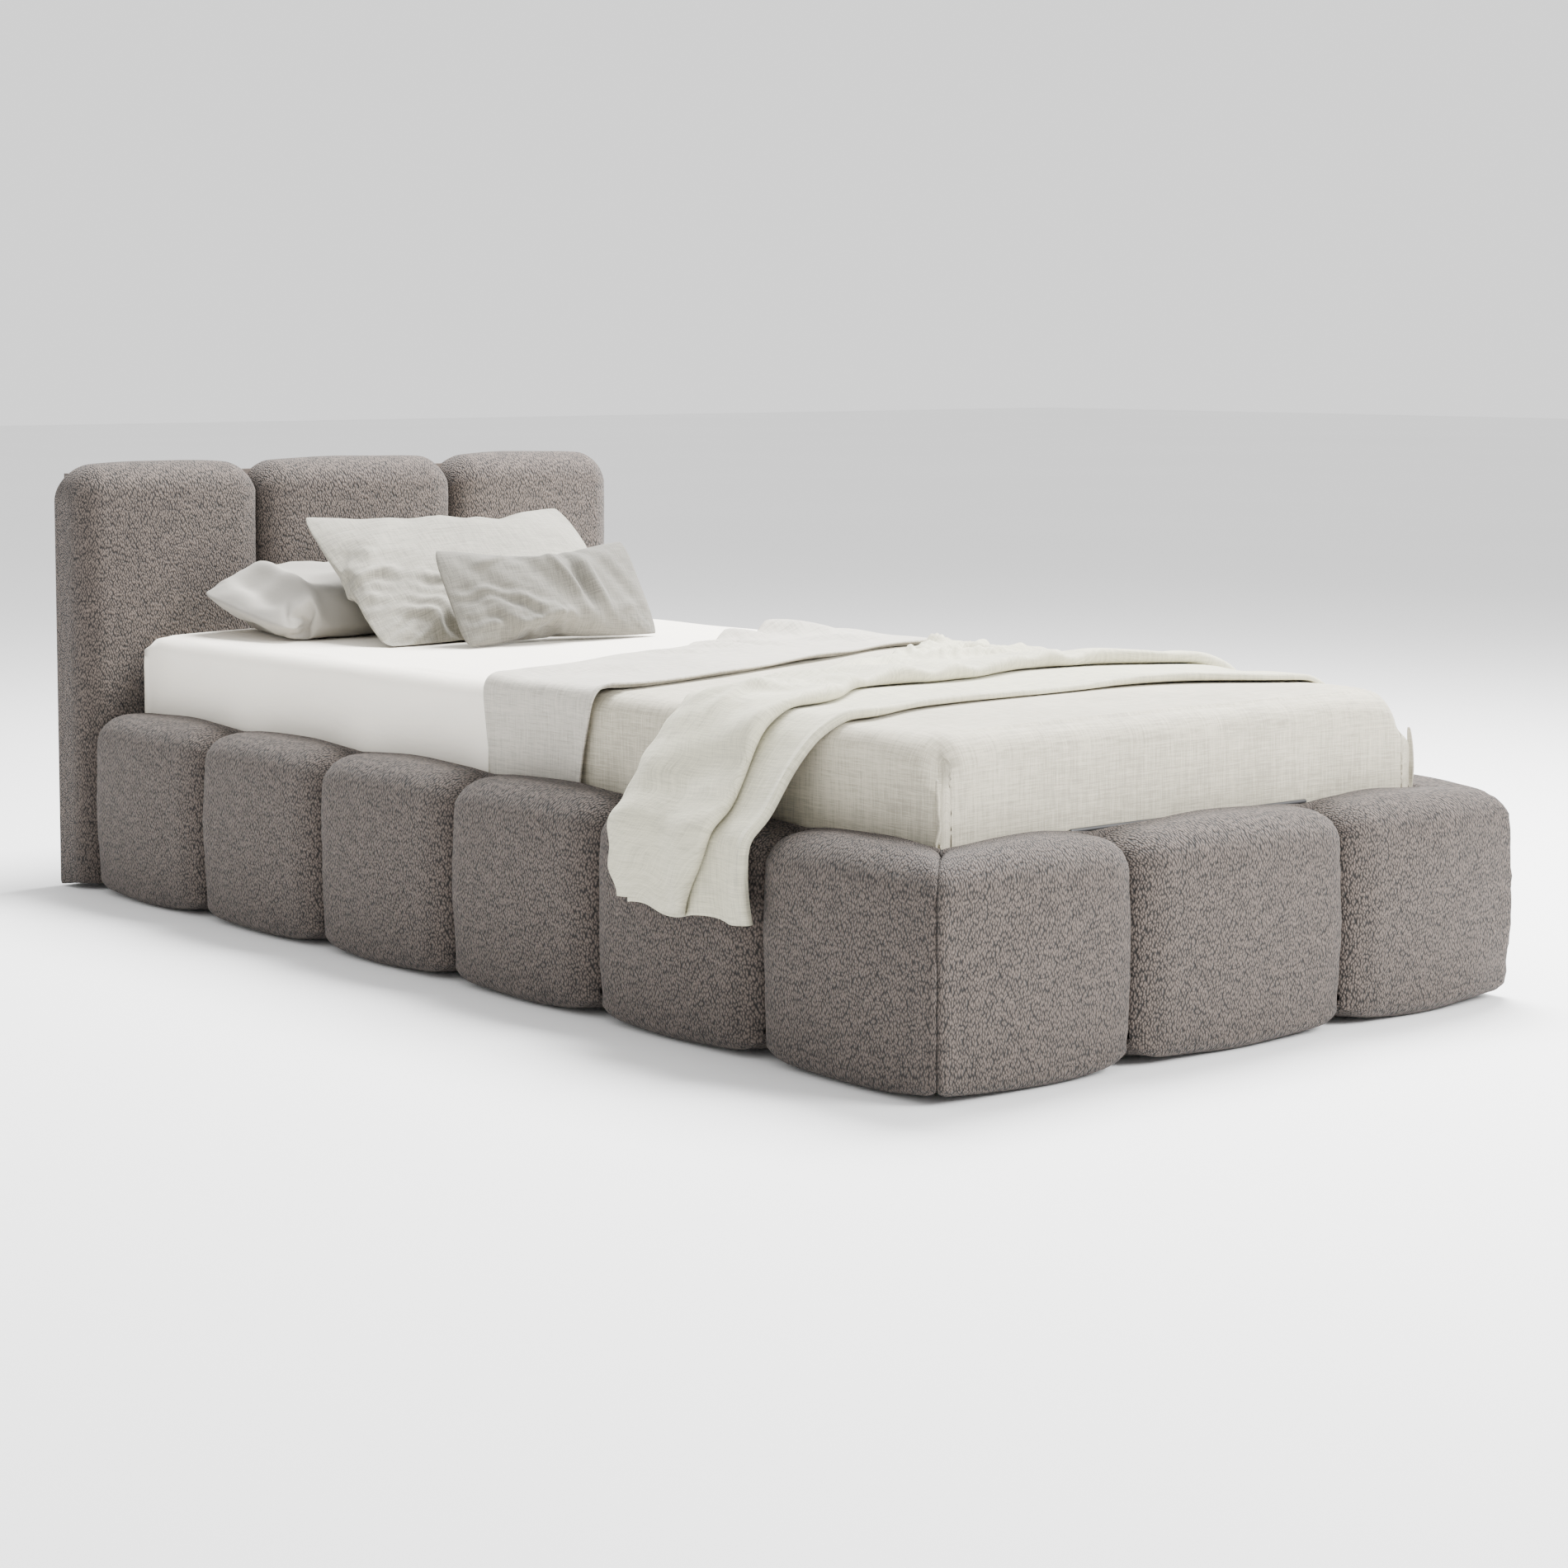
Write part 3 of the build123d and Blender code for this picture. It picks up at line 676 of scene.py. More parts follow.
def mattress_cover(path, out, foot_y, head_y, rows):
    """A cover carried along Y from the foot to a head line, drawn in by a quarter ellipse at the foot.

    Its sides ripple with a slack that grows downwards. Both covers ripple alike, so that the upper
    one never cuts the lower one.
    """
    run = path_run(path)
    share = np.linspace(0, 1, rows) ** 1.25
    y = foot_y + share[:, None] * (head_y - foot_y + np.zeros(len(path)))
    s = y - foot_y
    top = np.clip(out[:, 1], 0, 1)[None]
    inset = soft_ends(s, 0.036, 0.036) * top ** 2 + soft_ends(s, 0.010, 0.012) * (1 - top ** 2)
    low_down = np.clip((path[:, 1].max() - path[:, 1]) / np.ptp(path[:, 1]), 0, 1)[None]
    wave = ripple(s + 0.5 * path[None, :, 1], (0.31, 0.19, 0.47, 0.12), 401) * (1 - top) * low_down
    calm = ripple(s + 0.4 * run[None], (0.41, 0.27, 0.6), 404) * np.clip(s / 0.1, 0, 1)
    moved = -inset + SLACK * wave + 0.0011 * calm
    section = path[None] + out[None] * moved[..., None]
    return np.stack([section[..., 0], y, section[..., 1]], -1), run


def cover_parts(body, run, bottom, ends):
    """Grids of a cover: its body, and a dropped face at each end asked for, with the cloth's own metres."""
    parts = [(body, False, np.stack([np.repeat(run[None], len(body), 0), body[..., 1]], -1))]
    for index, sign in ends:
        edge = body[index]
        face = np.concatenate([edge[None], drop_face(edge, bottom)])
        v = edge[None, :, 1] + sign * (edge[None, :, 2] - face[..., 2])
        uv = np.stack([np.repeat(run[None], len(face), 0), v], -1)
        if index == 0:
            face = face[::-1]
            uv = uv[::-1]
        parts.append((face, False, uv))
    return parts


def round_corner(grid, half, foot, top):
    """Round the two foot corners of a bed layer as the corner of a box is rounded.

    Distances from the side, foot and top planes are shortened so that what is left of each below r
    has a length of r; r is 31 mm along the upper edges, 65 mm at the corner itself, and falls to
    9 mm below the pinch.
    """
    x, y, z = (grid[..., k] for k in range(3))
    low_r, edge_more, corner_more = 0.009, 0.022, 0.034
    pinch = 0.062
    inside = np.stack([half - np.abs(x), y - foot, np.clip(top - z, 0, None)], -1)
    fall = 1 / (1 + np.exp((inside[..., 2] - pinch) / 0.005))
    corner = np.clip(1 - np.maximum(inside[..., 0], inside[..., 1]) / 0.13, 0, 1) ** 1.5
    r = low_r + (edge_more + corner_more * corner) * fall
    short = np.clip(r[..., None] - inside, 0, None)
    length = np.linalg.norm(short, axis=-1)
    share = np.clip(1 - r / np.maximum(length, 1e-9), 0, 1)
    inside = inside + short * share[..., None]
    grid[..., 0] = np.sign(x) * (half - inside[..., 0])
    grid[..., 1] = foot + inside[..., 1]
    grid[..., 2] = np.where(share > 0, top - inside[..., 2], z)
    return grid


def build_mattress():
    """The foam mattress in its ticking, and the fitted sheet pulled over it."""
    low = mattress_low + 0.003
    high = mattress_high - 0.003
    edge = (0.03, 0.034)
    loop, normals = rounded_loop((low[0], low[2]), (high[0], high[2]), (0.02, 0.02, 0.034, 0.034), 10, 30)
    bar = stuffed_bar(loop, normals, np.ones(len(loop)), high[1] - low[1], (edge, edge), 0.0, 301, 50)
    core = np.stack([bar[..., 0], low[1] + bar[..., 2], bar[..., 1]], -1)
    round_corner(core, high[0], low[1], high[2])
    obj = tidy(surface("foam_mattress", tube_parts(core, (0, 2))))
    use(obj, "lift_frame", "mattress_ticking", woven("mattress_ticking", (0.72, 0.70, 0.66)), "mattress")
    half = sheet_high[0]
    top = SHEET_TOP - 0.001
    bottom = sheet_low[2] + 0.004
    foot = sheet_low[1] + 0.002
    head = sheet_high[1] - 0.001
    path, out = cover_line(half, top, bottom)
    skin, run = mattress_cover(path, out, foot, head, 140)
    skin[..., 2] -= soft_ends(head - skin[..., 1], 0.03, 0.036) * np.clip(out[:, 1], 0, 1)[None]
    parts = cover_parts(skin, run, bottom, ((0, 1), (-1, -1)))
    for grid, _, _ in parts[:2]:
        round_corner(grid, half, foot, top)
    obj = tidy(surface("sheet", parts), 1e-6, False)
    thicken(obj, 0.0012)
    use(obj, "lift_frame", "sheet_cotton", SHEET, "fitted_sheet")


def crease_y(x):
    """Y of the folded head edge of the spread, slanting across the bed."""
    return spread_high[1] - SLANT * (spread_high[0] - x)


def corner_fold(sign):
    """A pinched seam that stands out of a foot corner: a wavy strip from the rail up to its mouth."""
    top = SPREAD_TOP - 0.058
    rise = np.linspace(0, 1, 40)[:, None]
    out = np.linspace(0, 1, 6)[None]
    width = 0.0080 * np.sin(math.pi * np.clip(rise * 0.9 + 0.08, 0, 1)) ** 0.4
    wave = ripple(rise, (0.9, 0.55, 0.35), 431) * 0.0012
    x = sign * (spread_high[0] - 0.005 + out * width * 0.6 + wave * out)
    y = FOOT_EDGE + 0.005 - out * width + wave
    z = spread_low[2] + 0.006 + rise * (top - spread_low[2]) + 0 * out
    return np.stack([x, y, z], -1)


def build_spread():
    """The linen spread: over the mattress, down the sides and foot, pinched at each foot corner."""
    half = spread_high[0]
    bottom = spread_low[2] + 0.003
    path, out = cover_line(half, SPREAD_TOP, bottom)
    body, run = mattress_cover(path, out, FOOT_EDGE, crease_y(path[:, 0]), 165)
    parts = cover_parts(body, run, bottom, ((0, 1),))
    for grid, _, _ in parts:
        x, y, z = (grid[..., k] for k in range(3))
        belly = np.sin(math.pi * np.clip((SPREAD_TOP - z) / (SPREAD_TOP - bottom), 0, 1))
        belly = belly * np.exp(-((y - FOOT_EDGE) / 0.01) ** 2) * (1 - (np.abs(x) / half) ** 4)
        grid[..., 1] -= 0.004 * belly
        round_corner(grid, half, FOOT_EDGE, SPREAD_TOP)
    obj = tidy(surface("linen_spread", parts), 1e-6, False)
    thicken(obj, 0.002)
    use(obj, "lift_frame", "spread_linen", SPREAD, "bedspread")
    for side, sign in (("left", -1), ("right", 1)):
        grid = corner_fold(sign)
        rows, columns = grid.shape[:2]
        uv = np.stack(np.meshgrid(np.linspace(0, 0.01, columns), np.linspace(0, 0.12, rows)), -1)
        fold = thicken(surface(f"spread_corner_seam_{side}", [(grid, False, uv)]), 0.0035, 0)
        use(fold, "lift_frame", "spread_linen", SPREAD)


def build_band():
    """The spread's head end turned back: it rolls over at the crease and ends in a stitched flange."""
    gap = 0.0025
    flange_width = 0.0125
    path, out = cover_line(spread_high[0] + gap, SPREAD_TOP + gap, spread_low[2] + 0.004)
    run = path_run(path)
    x = path[:, 0]
    half_run = run[-1] / 2
    crease = crease_y(x) + 0.004 * ripple(run, (0.33, 0.21), 415)
    hem = curve(run - half_run, (-half_run, -0.262), (-0.50, -0.275), (-0.44, -0.322), (-0.31, -0.292),
                (-0.15, -0.240), (0.07, -0.170), (0.24, -0.094), (0.45, -0.030), (half_run, -0.030))
    rows = 150
    share = 1 - np.linspace(1, 0, rows)[:, None] ** 1.8
    y = crease[None] + (hem - crease)[None] * share
    from_fold = crease[None] - y
    from_hem = y - hem[None]
    top = np.clip(out[:, 1], 0, 1)[None]
    lift = 0.0018 * ripple(y + 0.35 * run[None], (0.27, 0.17, 0.41), 411) + 0.001
    roll = -soft_ends(from_fold, 0.0065, 0.010)
    open_hem = 0.0022 * np.exp(-(from_hem / 0.025) ** 2)
    flange = 0.0032 / (1 + np.exp((from_hem - flange_width) / 0.0009))
    stitch = -0.0022 * np.exp(-((from_hem - flange_width - 0.001) / 0.0016) ** 2)
    bulge = 0.004 * np.exp(-((np.abs(run - half_run) - spread_high[0]) / 0.035) ** 2)[None]
    wrinkles = ridges(x[None], y,
                      ((0.10, 0.23), (0.24, 0.15), 0.018, 0.016),
                      ((0.20, 0.28), (0.40, 0.16), 0.022, 0.020),
                      ((0.02, 0.12), (0.12, 0.03), 0.009, 0.012),
                      ((0.05, 0.16), (0.19, 0.03), 0.009, 0.010),
                      ((-0.10, 0.09), (0.00, -0.02), 0.007, 0.014),
                      ((-0.40, -0.03), (-0.20, -0.14), 0.006, 0.026),
                      ((0.24, 0.10), (0.38, 0.02), 0.010, 0.018))
    moved = lift + roll + open_hem + flange + stitch + bulge + wrinkles * top
    section = path[None] + out[None] * moved[..., None]
    grid = np.stack([section[..., 0], y, section[..., 1]], -1)
    uv = np.stack([np.repeat(run[None], rows, 0), y], -1)
    obj = surface("turned_back_linen", [(grid[::-1], False, uv[::-1])])
    thicken(obj, 0.0032, 0)
    use(obj, "lift_frame", "band_linen", BAND, "turned_back_band")
    float(((crease - hem)[1:] * np.diff(run)).sum())


# ---------------------------------------------------------------- throw

# How far apart the throw's layers lie, the radius of its turned-under edge and that edge's width.
LAYER = 0.0042
HEM_TURN = 0.0048
TURNED_UNDER = 0.035


def folded_section(edges, roll):
    """A Z fold in flat coordinates (y, height) and how much of each row belongs to the top layer.

    edges are the Y lines of the foot edge, the hidden back fold, the front fold and the head hem.
    The foot edge is turned under by 35 mm, then come the bottom layer headwards, the middle layer
    back, the puffy front fold of radius roll, and the top layer, which sinks to the spread beyond
    the back fold.
    """
    foot, back, front, head = (edge[None] for edge in edges)
    straight = np.linspace(0, 1, 22)[:, None]
    long = np.linspace(0, 1, 72)[:, None] ** 1.1
    tail = np.linspace(0, 1, 6)[:, None]
    turn = np.linspace(-math.pi / 2, math.pi / 2, 11)[:, None]
    small = LAYER / 2
    middle = 2 * LAYER
    roll = roll[None]
    y = [foot + TURNED_UNDER - (TURNED_UNDER - HEM_TURN) * tail, foot + HEM_TURN - HEM_TURN * np.cos(turn),
         foot + HEM_TURN + (back - small - foot - HEM_TURN) * straight, back - small + small * np.cos(turn),
         back - small + (front + roll - back + small) * straight, front + roll - roll * np.cos(turn),
         front + roll + (head - front - roll) * long]
    edge_rise = np.clip((y[2] - foot) / 0.05, 0, 1)
    dip = smooth_step((y[6] - front - roll) / 0.11)
    ease = smooth_step((y[6] - back + 0.02) / 0.07)
    h = [0 * y[0], HEM_TURN + HEM_TURN * np.sin(turn) + 0 * foot,
         2 * HEM_TURN + (LAYER - 2 * HEM_TURN) * edge_rise, LAYER + small + small * np.sin(turn) + 0 * back,
         middle + 0 * y[4], middle + roll + roll * np.sin(turn),
         middle + 2 * roll - (2 * roll - LAYER) * dip - (middle + LAYER) * ease]
    below = sum(len(part) for part in y[:5])
    top_share = np.concatenate([np.zeros((below, 1)), turn / math.pi + 0.5, np.ones((len(long), 1))])
    return np.concatenate(y), np.concatenate(h), top_share


def throw_edges(run):
    """Y lines of the throw's foot edge, hidden back fold, front fold and head hem, across the bed."""
    end = run[-1]
    head = curve(run, (0, -0.500), (0.06, -0.487), (0.15, -0.470), (0.30, -0.468), (0.36, -0.478),
                 (0.46, -0.420), (0.61, -0.335), (0.76, -0.290), (0.91, -0.206), (1.03, -0.155),
                 (1.22, -0.120), (end, -0.14))
    head = head + 0.004 * ripple(run, (0.055, 0.09, 0.13), 500)
    front = curve(run, (0, -0.668), (0.08, -0.695), (0.14, -0.718), (0.21, -0.688), (0.34, -0.690),
                  (0.40, -0.672), (0.48, -0.615), (0.56, -0.585), (0.72, -0.592), (0.88, -0.556),
                  (1.02, -0.545), (1.14, -0.60), (1.22, -0.65), (end, -0.68))
    foot = curve(run, (0, -0.785), (0.07, -0.764), (0.14, -0.785), (0.21, -0.771), (0.26, -0.783),
                 (0.34, -0.820), (0.44, -0.768), (0.57, -0.758), (0.74, -0.755), (0.89, -0.738),
                 (1.0, -0.755), (1.10, -0.82), (1.22, -0.85), (end, -0.82))
    width = 0.74
    back = np.clip(front + (width - head + foot) / 2, front + 0.06, head - 0.025)
    return foot, back, front, head


def throw_relief(path, out, run, y, head, on_top):
    """How far the throw stands off its path: slow drape, deeper on the hang, and crumples at the far side.

    Folds near the head hem follow it, a puffed tuft stands at the band's edge, and single ridges
    run across the top layer.
    """
    x = path[None, :, 0]
    flat = np.clip(out[:, 1], 0, 1)[None]
    across = run[None]
    from_hem = head[None] - y
    relief = 0.0026 * ripple(y + 0.25 * across, (0.13, 0.21, 0.34), 501)
    hang = (1 - flat) * np.clip((RAIL_TOP + 0.06 - path[None, :, 1]) / 0.20, 0, 1)
    relief = relief + 0.0045 * hang * (0.8 + ripple(y * 0.9 - 0.22 * across, (0.085, 0.15), 503))
    far = np.clip((across - 0.70) / 0.30, 0, 1)
    bend = 0.03 * ripple(across, (0.19, 0.31), 504) + 0.10 * across
    folds = np.clip(ripple(from_hem + bend, (0.052, 0.034), 505), -0.4, 2)
    relief = relief + 0.0058 * far * folds * on_top * np.exp(-(from_hem / 0.20) ** 2)
    slow = ripple(across + 0.4 * y, (0.12, 0.21, 0.08), 506)
    relief = relief + 0.0030 * (1 + slow) * on_top * flat
    tuft = np.exp(-((across - 1.02) / 0.060) ** 2 - ((from_hem - 0.012) / 0.035) ** 2)
    relief = relief + 0.013 * tuft * (1.1 + 0.5 * ripple(across + 0.2 * y, (0.035, 0.053), 507)) * on_top
    relief = relief + on_top * ridges(x, y,
                                      ((-0.45, -0.48), (-0.36, -0.64), 0.010, 0.014),
                                      ((-0.46, -0.56), (-0.28, -0.60), 0.008, 0.012),
                                      ((-0.30, -0.42), (-0.12, -0.52), 0.006, 0.016),
                                      ((-0.02, -0.36), (0.18, -0.50), 0.008, 0.014),
                                      ((0.13, -0.28), (0.33, -0.40), 0.012, 0.012),
                                      ((0.20, -0.22), (0.44, -0.30), 0.012, 0.013),
                                      ((-0.05, -0.33), (0.10, -0.30), 0.008, 0.012))
    relief = relief + ridge(x, y, (0.10, -0.62), (0.26, -0.68), 0.006, 0.012) * (1 - on_top)
    dent = np.exp(-((across - 0.40) / 0.05) ** 2 - ((y + 0.62) / 0.03) ** 2)
    return relief - 0.004 * dent * on_top


def build_throw():
    """The soft throw across the bed, folded in three and hanging down the outside of both rails."""
    low, _ = corners("throw")
    top = SPREAD_TOP + 0.004
    out_x = OUTER_X + 0.011
    half = [(-out_x, low[2]), (-out_x, RAIL_TOP - 0.018), (-out_x + 0.028, RAIL_TOP + 0.006),
            (-spread_high[0] - 0.006, top - 0.020), (-spread_high[0] + 0.026, top)]
    path = line(half + [(-x, z) for x, z in reversed(half)], 0.011)
    out = normals_2d(path)
    flat = np.clip(out[:, 1], 0, 1)[None]
    path[:, 1] += crown(path[:, 0], spread_high[0]) * flat[0]
    run = path_run(path)
    across = run[None]
    edges = throw_edges(run)
    roll = 0.0078 * (1 + 0.22 * ripple(run, (0.16, 0.29, 0.11), 515))
    y, h, on_top = folded_section(edges, roll)
    relief = throw_relief(path, out, run, y, edges[3], on_top)
    hem = np.exp(-(across / 0.05) ** 2) + np.exp(-((run[-1] - across) / 0.05) ** 2)
    flare = 0.0030 * hem * (1 + ripple(y, (0.11, 0.07), 509))
    moved = np.maximum(h + relief * np.clip(h / 0.002 + on_top, 0, 1) + flare, 0.0004)
    section = path[None] + out[None] * moved[..., None]
    sag = (0.006 * (1 - on_top) + 0.005 * ripple(y, (0.23, 0.12), 511)) * hem * (1 - flat)
    grid = np.stack([section[..., 0], y, section[..., 1] - sag], -1)
    step = np.hypot(np.diff(y, axis=0), np.diff(h, axis=0))
    cloth_v = np.concatenate([np.zeros((1, len(run))), np.cumsum(step, 0)])
    uv = np.stack([np.repeat(across, len(y), 0), cloth_v], -1)
    obj = surface("throw_blanket", [(grid, False, uv)])
    thicken(obj, 0.0018, 0)
    use(obj, "lift_frame", "throw_linen", THROW, "throw")
    area = float((cloth_v[-1][1:] * np.diff(run)).sum())


# ---------------------------------------------------------------- pillows

def pillow_blank(name, width, depth, cell, ear):
    """Two cloth faces sewn together all round, slightly apart inside, with round corners.

    The half thickness is 8 mm * (1 - a^4)(1 - b^4) for a and b from -1 to 1; the outline's corners
    are drawn in by the share ear where both are near 1.
    """
    a = np.linspace(-1, 1, int(width / cell) + 1)[None]
    b = np.linspace(-1, 1, int(depth / cell) + 1)[:, None]
    pull = 1 - ear * np.abs(a) ** 5 * np.abs(b) ** 5
    x = a * width / 2 * pull
    y = b * depth / 2 * pull
    z = 0.008 * (1 - a ** 4) * (1 - b ** 4)
    uv = np.stack([x, y], -1)
    front = np.stack([x, y, z], -1)
    behind = np.stack([x, y, -z], -1)
    return tidy(surface(name, [(front, False, uv), (behind[::-1], False, uv[::-1] + (0.7, 0))]), 2e-5, True)


def inflate(obj, bend):
    """Blow the pillow up as cloth with air pressure and no gravity, and keep the shape it takes."""
    cloth = obj.modifiers.new("cloth", "CLOTH")
    settings = cloth.settings
    settings.quality = 5
    settings.mass = 0.2
    settings.tension_stiffness = 30
    settings.compression_stiffness = 30
    settings.shear_stiffness = 10
    settings.bending_stiffness = bend
    settings.air_damping = 3
    settings.use_pressure = True
    settings.uniform_pressure_force = 3.0
    settings.effector_weights.gravity = 0
    cloth.collision_settings.use_collision = False
    scene = bpy.context.scene
    for step in range(1, 27):
        scene.frame_set(step)
    blown = bpy.data.meshes.new_from_object(obj.evaluated_get(bpy.context.evaluated_depsgraph_get()))
    scene.frame_set(1)
    obj.modifiers.clear()
    obj.data = blown
    return obj


def read_points(obj):
    points = np.empty(len(obj.data.vertices) * 3)
    obj.data.vertices.foreach_get("co", points)
    return points.reshape(-1, 3)


def write_points(obj, points):
    obj.data.vertices.foreach_set("co", points.ravel())
    obj.data.update()


def stuffed_pillow(node, name, material, slot, flat, size, lean, bend, relief, sag, ear=0.05, shift=0.0):
    """A stuffed pillow in the place of its CAD solid: blown up, sized, creased, leaned back and set down.

    flat is the cloth cut, size the finished width, depth and thickness. The fill slumps towards the
    lower edge, and what would sink into the bed is pressed flat: a depth d below becomes
    rest * (1 - exp(-d / rest)).
    """
    low, high = corners(node)
    obj = inflate(pillow_blank(name, *flat, 0.008, ear), bend)
    points = read_points(obj)
    points *= np.array(size) / np.ptp(points, axis=0)
    a, b = points[:, 0] / size[0] * 2, points[:, 1] / size[1] * 2
    points[:, 2] += relief(a, b) * np.sign(points[:, 2]) * np.clip(np.abs(points[:, 2]) / 0.02, 0, 1)
    slump = np.clip(1 - (b + 1) / 1.3, 0, 1) ** 2
    points[:, 2] *= 1 + 0.20 * slump
    points[:, 1] -= sag * (1 - a ** 2) * np.clip(b, 0, 1)
    turn = math.radians(lean)
    y = points[:, 1] * math.cos(turn) - points[:, 2] * math.sin(turn)
    z = points[:, 1] * math.sin(turn) + points[:, 2] * math.cos(turn)
    centre = (low + high) / 2
    placed = np.column_stack([points[:, 0] + centre[0] + shift, y + centre[1], z + centre[2]])
    rest = 0.012
    bed = SHEET_TOP + CROWN - 0.0005
    under = np.clip(bed + rest - placed[:, 2], 0, 1)
    placed[:, 2] += under - rest * (1 - np.exp(-under / rest))
    write_points(obj, placed)
    obj.data.polygons.foreach_set("use_smooth", np.ones(len(obj.data.polygons), bool))
    fine = obj.modifiers.new("smooth", "SUBSURF")
    fine.levels = 1
    fine.render_levels = 1
    use(obj, "lift_frame", slot, material, node)
    return obj


def white_relief(a, b):
    """A fold across the left end with a hollow beside it, and a slow unevenness."""
    return (0.003 * ripple(a + 0.4 * b, (0.5, 0.31, 0.8), 601)
            + ridges(a, b,
                     ((-0.64, 1.0), (-0.76, -0.9), 0.022, 0.055),
                     ((-0.80, 0.9), (-0.90, -0.8), -0.010, 0.05),
                     ((-0.55, -0.1), (-0.1, -0.5), 0.007, 0.08)))


def middle_relief(a, b):
    """Creases in arcs round the lower left corner, tighter gathers at the corner itself."""
    reach = np.hypot((a + 1.05) * 1.25, b + 1.15) + 0.03 * ripple(a * 1.3 - b, (0.7, 0.41), 614)
    near = np.exp(-((reach - 0.85) / 0.42) ** 2) * (0.7 + 0.4 * ripple(a - 0.6 * b, (0.45, 0.8), 615))
    corner = np.exp(-((a + 0.95) / 0.22) ** 2 - ((b + 0.95) / 0.30) ** 2)
    return (0.0088 * near * ripple(reach, (0.26, 0.155, 0.39), 611)
            + 0.014 * corner * ripple(a - b, (0.16, 0.10), 616)
            + 0.0022 * ripple(a - 0.5 * b, (0.6, 0.35), 613))


def cushion_relief(a, b):
    """Arcs on the left, gathers at the lower right corner, and single folds down the middle."""
    reach = np.hypot((a + 1.0) * 1.2, b + 1.1)
    left = np.exp(-((reach - 0.9) / 0.45) ** 2)
    right = np.exp(-((a - 0.95) / 0.20) ** 2 - ((b + 0.9) / 0.40) ** 2)
    return (0.0050 * left * ripple(reach + 0.05 * ripple(a, (0.5, 0.3), 624), (0.31, 0.20), 621)
            + 0.0080 * right * ripple(a - b, (0.17, 0.11), 625)
            + 0.0024 * ripple(a * 0.9 + 0.3 * b, (0.36, 0.61, 0.23), 623)
            + ridges(a, b,
                     ((-0.08, 0.9), (0.22, -0.35), 0.014, 0.045),
                     ((0.16, 0.95), (0.30, -0.6), -0.013, 0.050),
                     ((0.30, 0.8), (0.46, -0.7), 0.012, 0.050),
                     ((-0.75, 0.5), (-0.35, 0.75), 0.009, 0.06),
                     ((-0.55, -0.75), (0.1, -0.55), 0.009, 0.06),
                     ((0.55, -0.55), (0.95, -0.30), 0.006, 0.08)))


def build_pillows():
    """Two bed pillows and a small front cushion."""
    stuffed_pillow("back_pillow", "white_pillow", SHADED_WHITE, "pillow_white", (0.64, 0.36),
                   (0.565, 0.30, 0.130), 10, 0.4, white_relief, 0.0, 0.15, 0.015)
    stuffed_pillow("middle_pillow", "linen_pillow", PILLOW, "pillow_linen", (0.62, 0.40),
                   (0.541, 0.343, 0.118), 38, 0.2, middle_relief, 0.012)
    stuffed_pillow("front_cushion", "linen_cushion", CUSHION, "cushion_linen", (0.45, 0.235),
                   (0.397, 0.187, 0.080), 58, 0.1, cushion_relief, 0.010)


# ---------------------------------------------------------------- frame, boards and lift gear

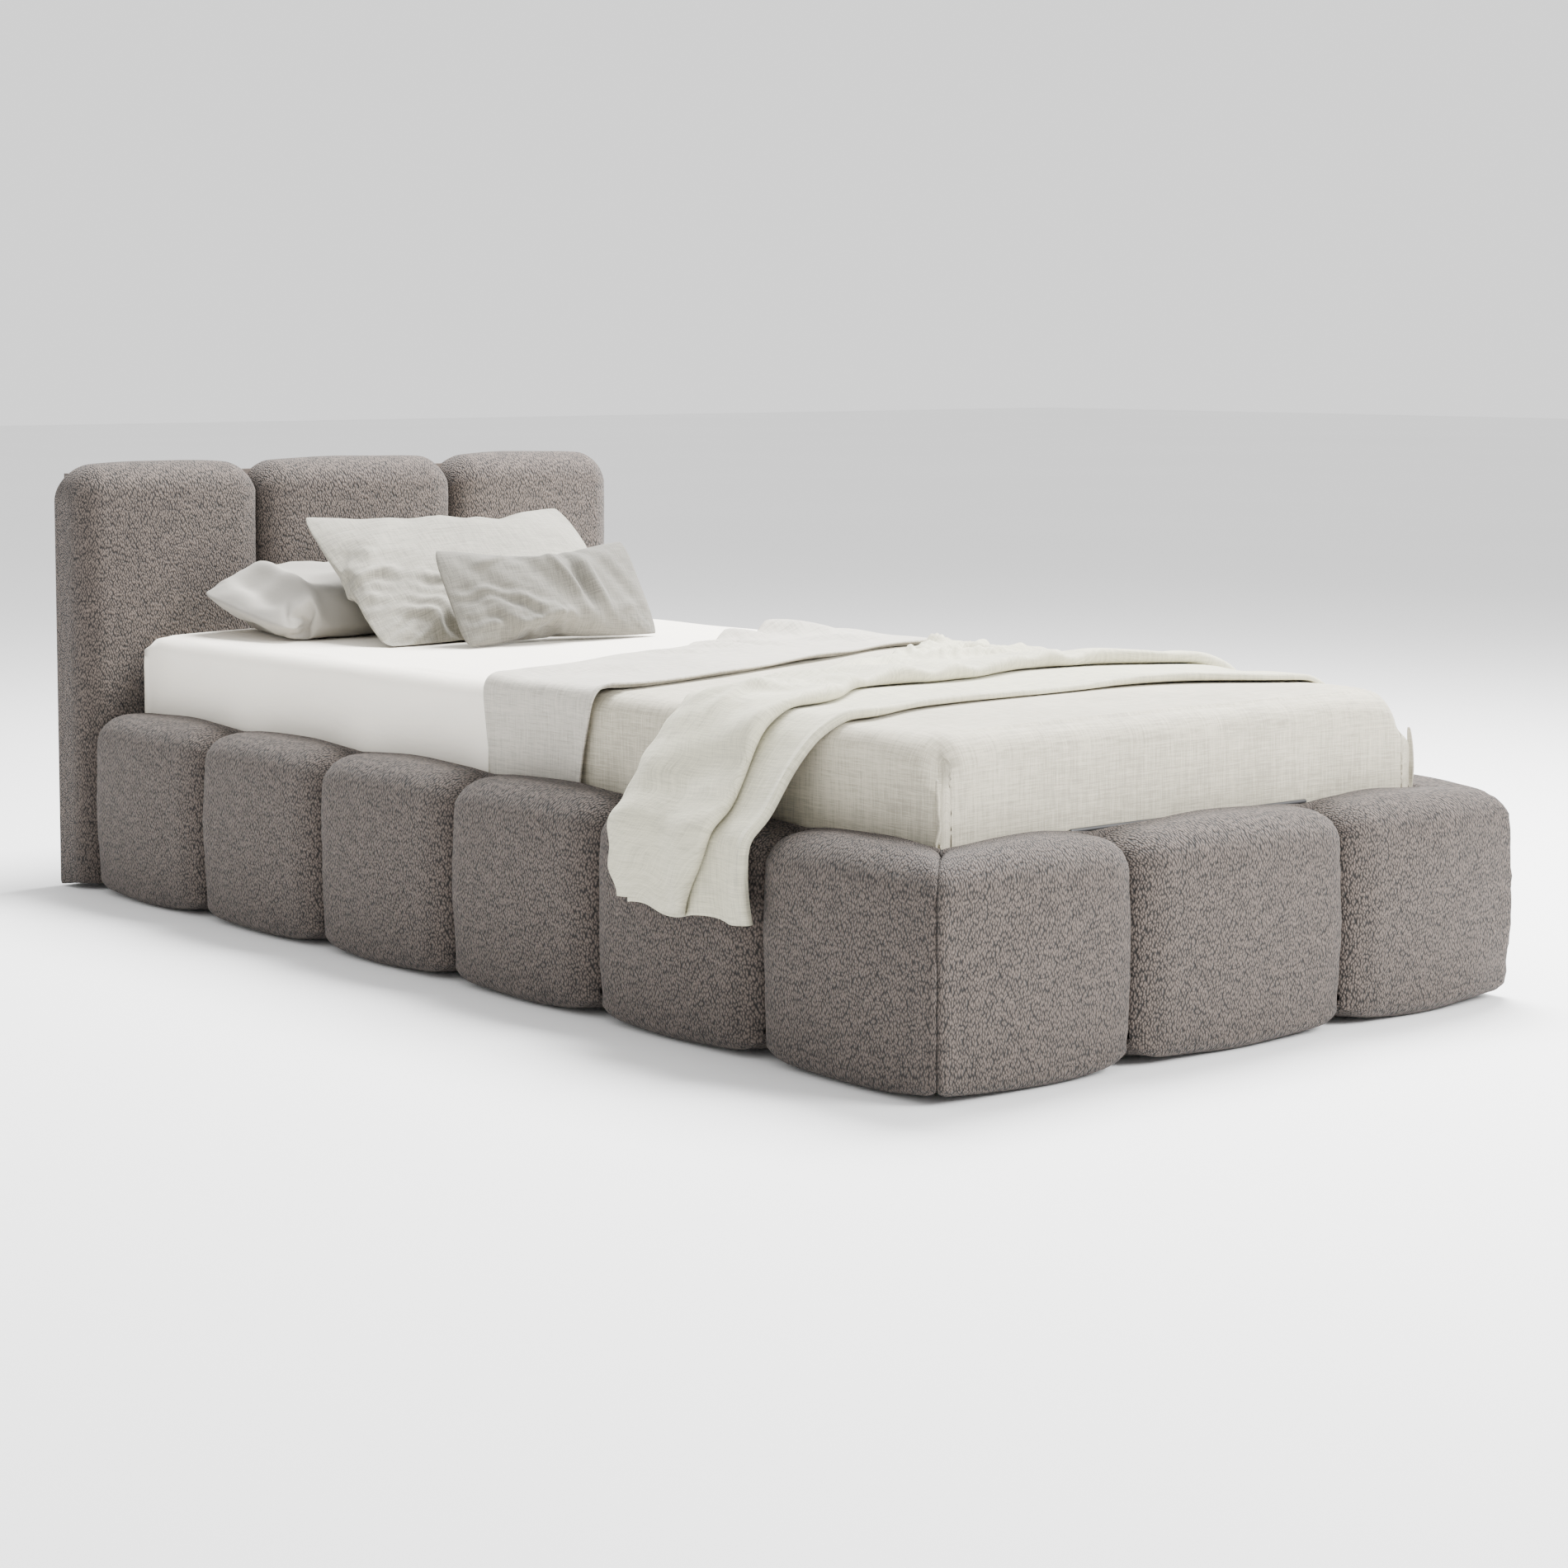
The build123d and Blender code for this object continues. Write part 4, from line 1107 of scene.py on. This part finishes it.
def finish_parts():
    """Materials for the structure that stays as modelled in the frame."""
    sides = ("left", "right")
    finishes = (
        (chips("chipboard", (0.50, 0.37, 0.24)), ["side_board_left", "side_board_right", "foot_board"]),
        (woven("panel_cover", (0.085, 0.066, 0.055), 900), ["head_panel"]),
        (woven("backing_cloth", (0.035, 0.034, 0.034), 1500), ["head_back_cloth"]),
        (chips("hardboard", (0.24, 0.15, 0.09), 420), ["floor_panels"]),
        (timber("pine", (0.62, 0.44, 0.25), "y"), ["floor_battens", "side_ledge_left", "side_ledge_right"]),
        (timber("birch_slat", (0.72, 0.56, 0.37), "x", 1.4), ["slats"]),
        (plastic("slat_holder", (0.020, 0.020, 0.021), 0.55), ["slat_caps"]),
        (plastic("glide_plastic", (0.03, 0.03, 0.03), 0.4), ["glides"]),
        (metal("frame_paint", (0.045, 0.045, 0.047), 0.42, 0.0, 500, 0.15, 0.2),
         [f"frame_tube_{place}" for place in ("left", "right", "foot", "middle", "head")]
         + [f"lift_bracket_{side}" for side in sides] + ["mattress_retainer"]),
        (metal("hinge_steel", (0.10, 0.10, 0.105), 0.40, 0.6),
         [f"{part}_{side}" for part in ("hinge_plate", "front_arm", "rear_arm") for side in sides]),
        (metal("zinc_steel", (0.62, 0.62, 0.63), 0.30, 1.0),
         ["corner_brackets", "frame_bolts", "base_pins", "frame_pins"]),
        (metal("strut_paint", (0.014, 0.014, 0.015), 0.30, 0.0, 600, 0.2, 0.4), ["gas_cylinders"]),
        (metal("strut_rod", (0.75, 0.75, 0.77), 0.12, 1.0, 900, 0.05), ["gas_rods"]),
        (woven("webbing", (0.05, 0.05, 0.055), 2600), ["pull_strap"]),
    )
    for material, nodes in finishes:
        for node in nodes:
            for slot in bpy.data.objects[node].material_slots:
                slot.material = material


# ---------------------------------------------------------------- floor, light, camera

def build_stage():
    """A plain pale floor, soft light from above and from the foot, and the camera."""
    floor = new_object("floor", [(-30, -30, 0), (30, -30, 0), (30, 30, 0), (-30, 30, 0)], [(0, 1, 2, 3)])
    pale = Shader("floor_paint", 0.9)
    cloud = pale.noise(False, (0.4, 0.4, 0.4))
    pale.colour(pale.ramp(cloud, "Fac", (0.3, (0.86, 0.86, 0.86)), (0.7, (0.88, 0.88, 0.88))))
    floor.data.materials.append(pale.material)
    world = bpy.data.worlds.new("studio")
    bpy.context.scene.world = world
    world.use_nodes = True
    sky = world.node_tree.nodes["Background"].inputs
    sky["Color"].default_value = (1, 1, 1, 1)
    sky["Strength"].default_value = 1.4
    for name, place, aim, size, power in (("window", (1.1, -3.8, 2.1), (0, -0.3, 0.2), 1.5, 250),
                                          ("ceiling", (1.6, 0.4, 3.6), (0, 0, 0.2), 2.2, 880)):
        light = bpy.data.lights.new(name, "AREA")
        light.size = size
        light.energy = power
        lamp = bpy.data.objects.new(name, light)
        lamp.location = place
        x, y, z = np.array(aim) - np.array(place)
        lamp.rotation_euler = (math.atan2(math.hypot(x, y), -z), 0, math.atan2(y, x) - math.pi / 2)
        bpy.context.collection.objects.link(lamp)
    camera = bpy.data.cameras.new("camera")
    camera.lens = 77.49
    camera.sensor_width = 36
    camera.shift_y = -0.110
    view = bpy.data.objects.new("camera", camera)
    view.location = (-3.280, -4.093, 0.932)
    view.rotation_euler = (math.pi / 2 - 0.08, 0, -0.6945)
    bpy.context.collection.objects.link(view)
    bpy.context.scene.camera = view


build_rails()
build_headboard()
build_mattress()
build_spread()
build_band()
build_throw()
build_pillows()
finish_parts()
build_stage()
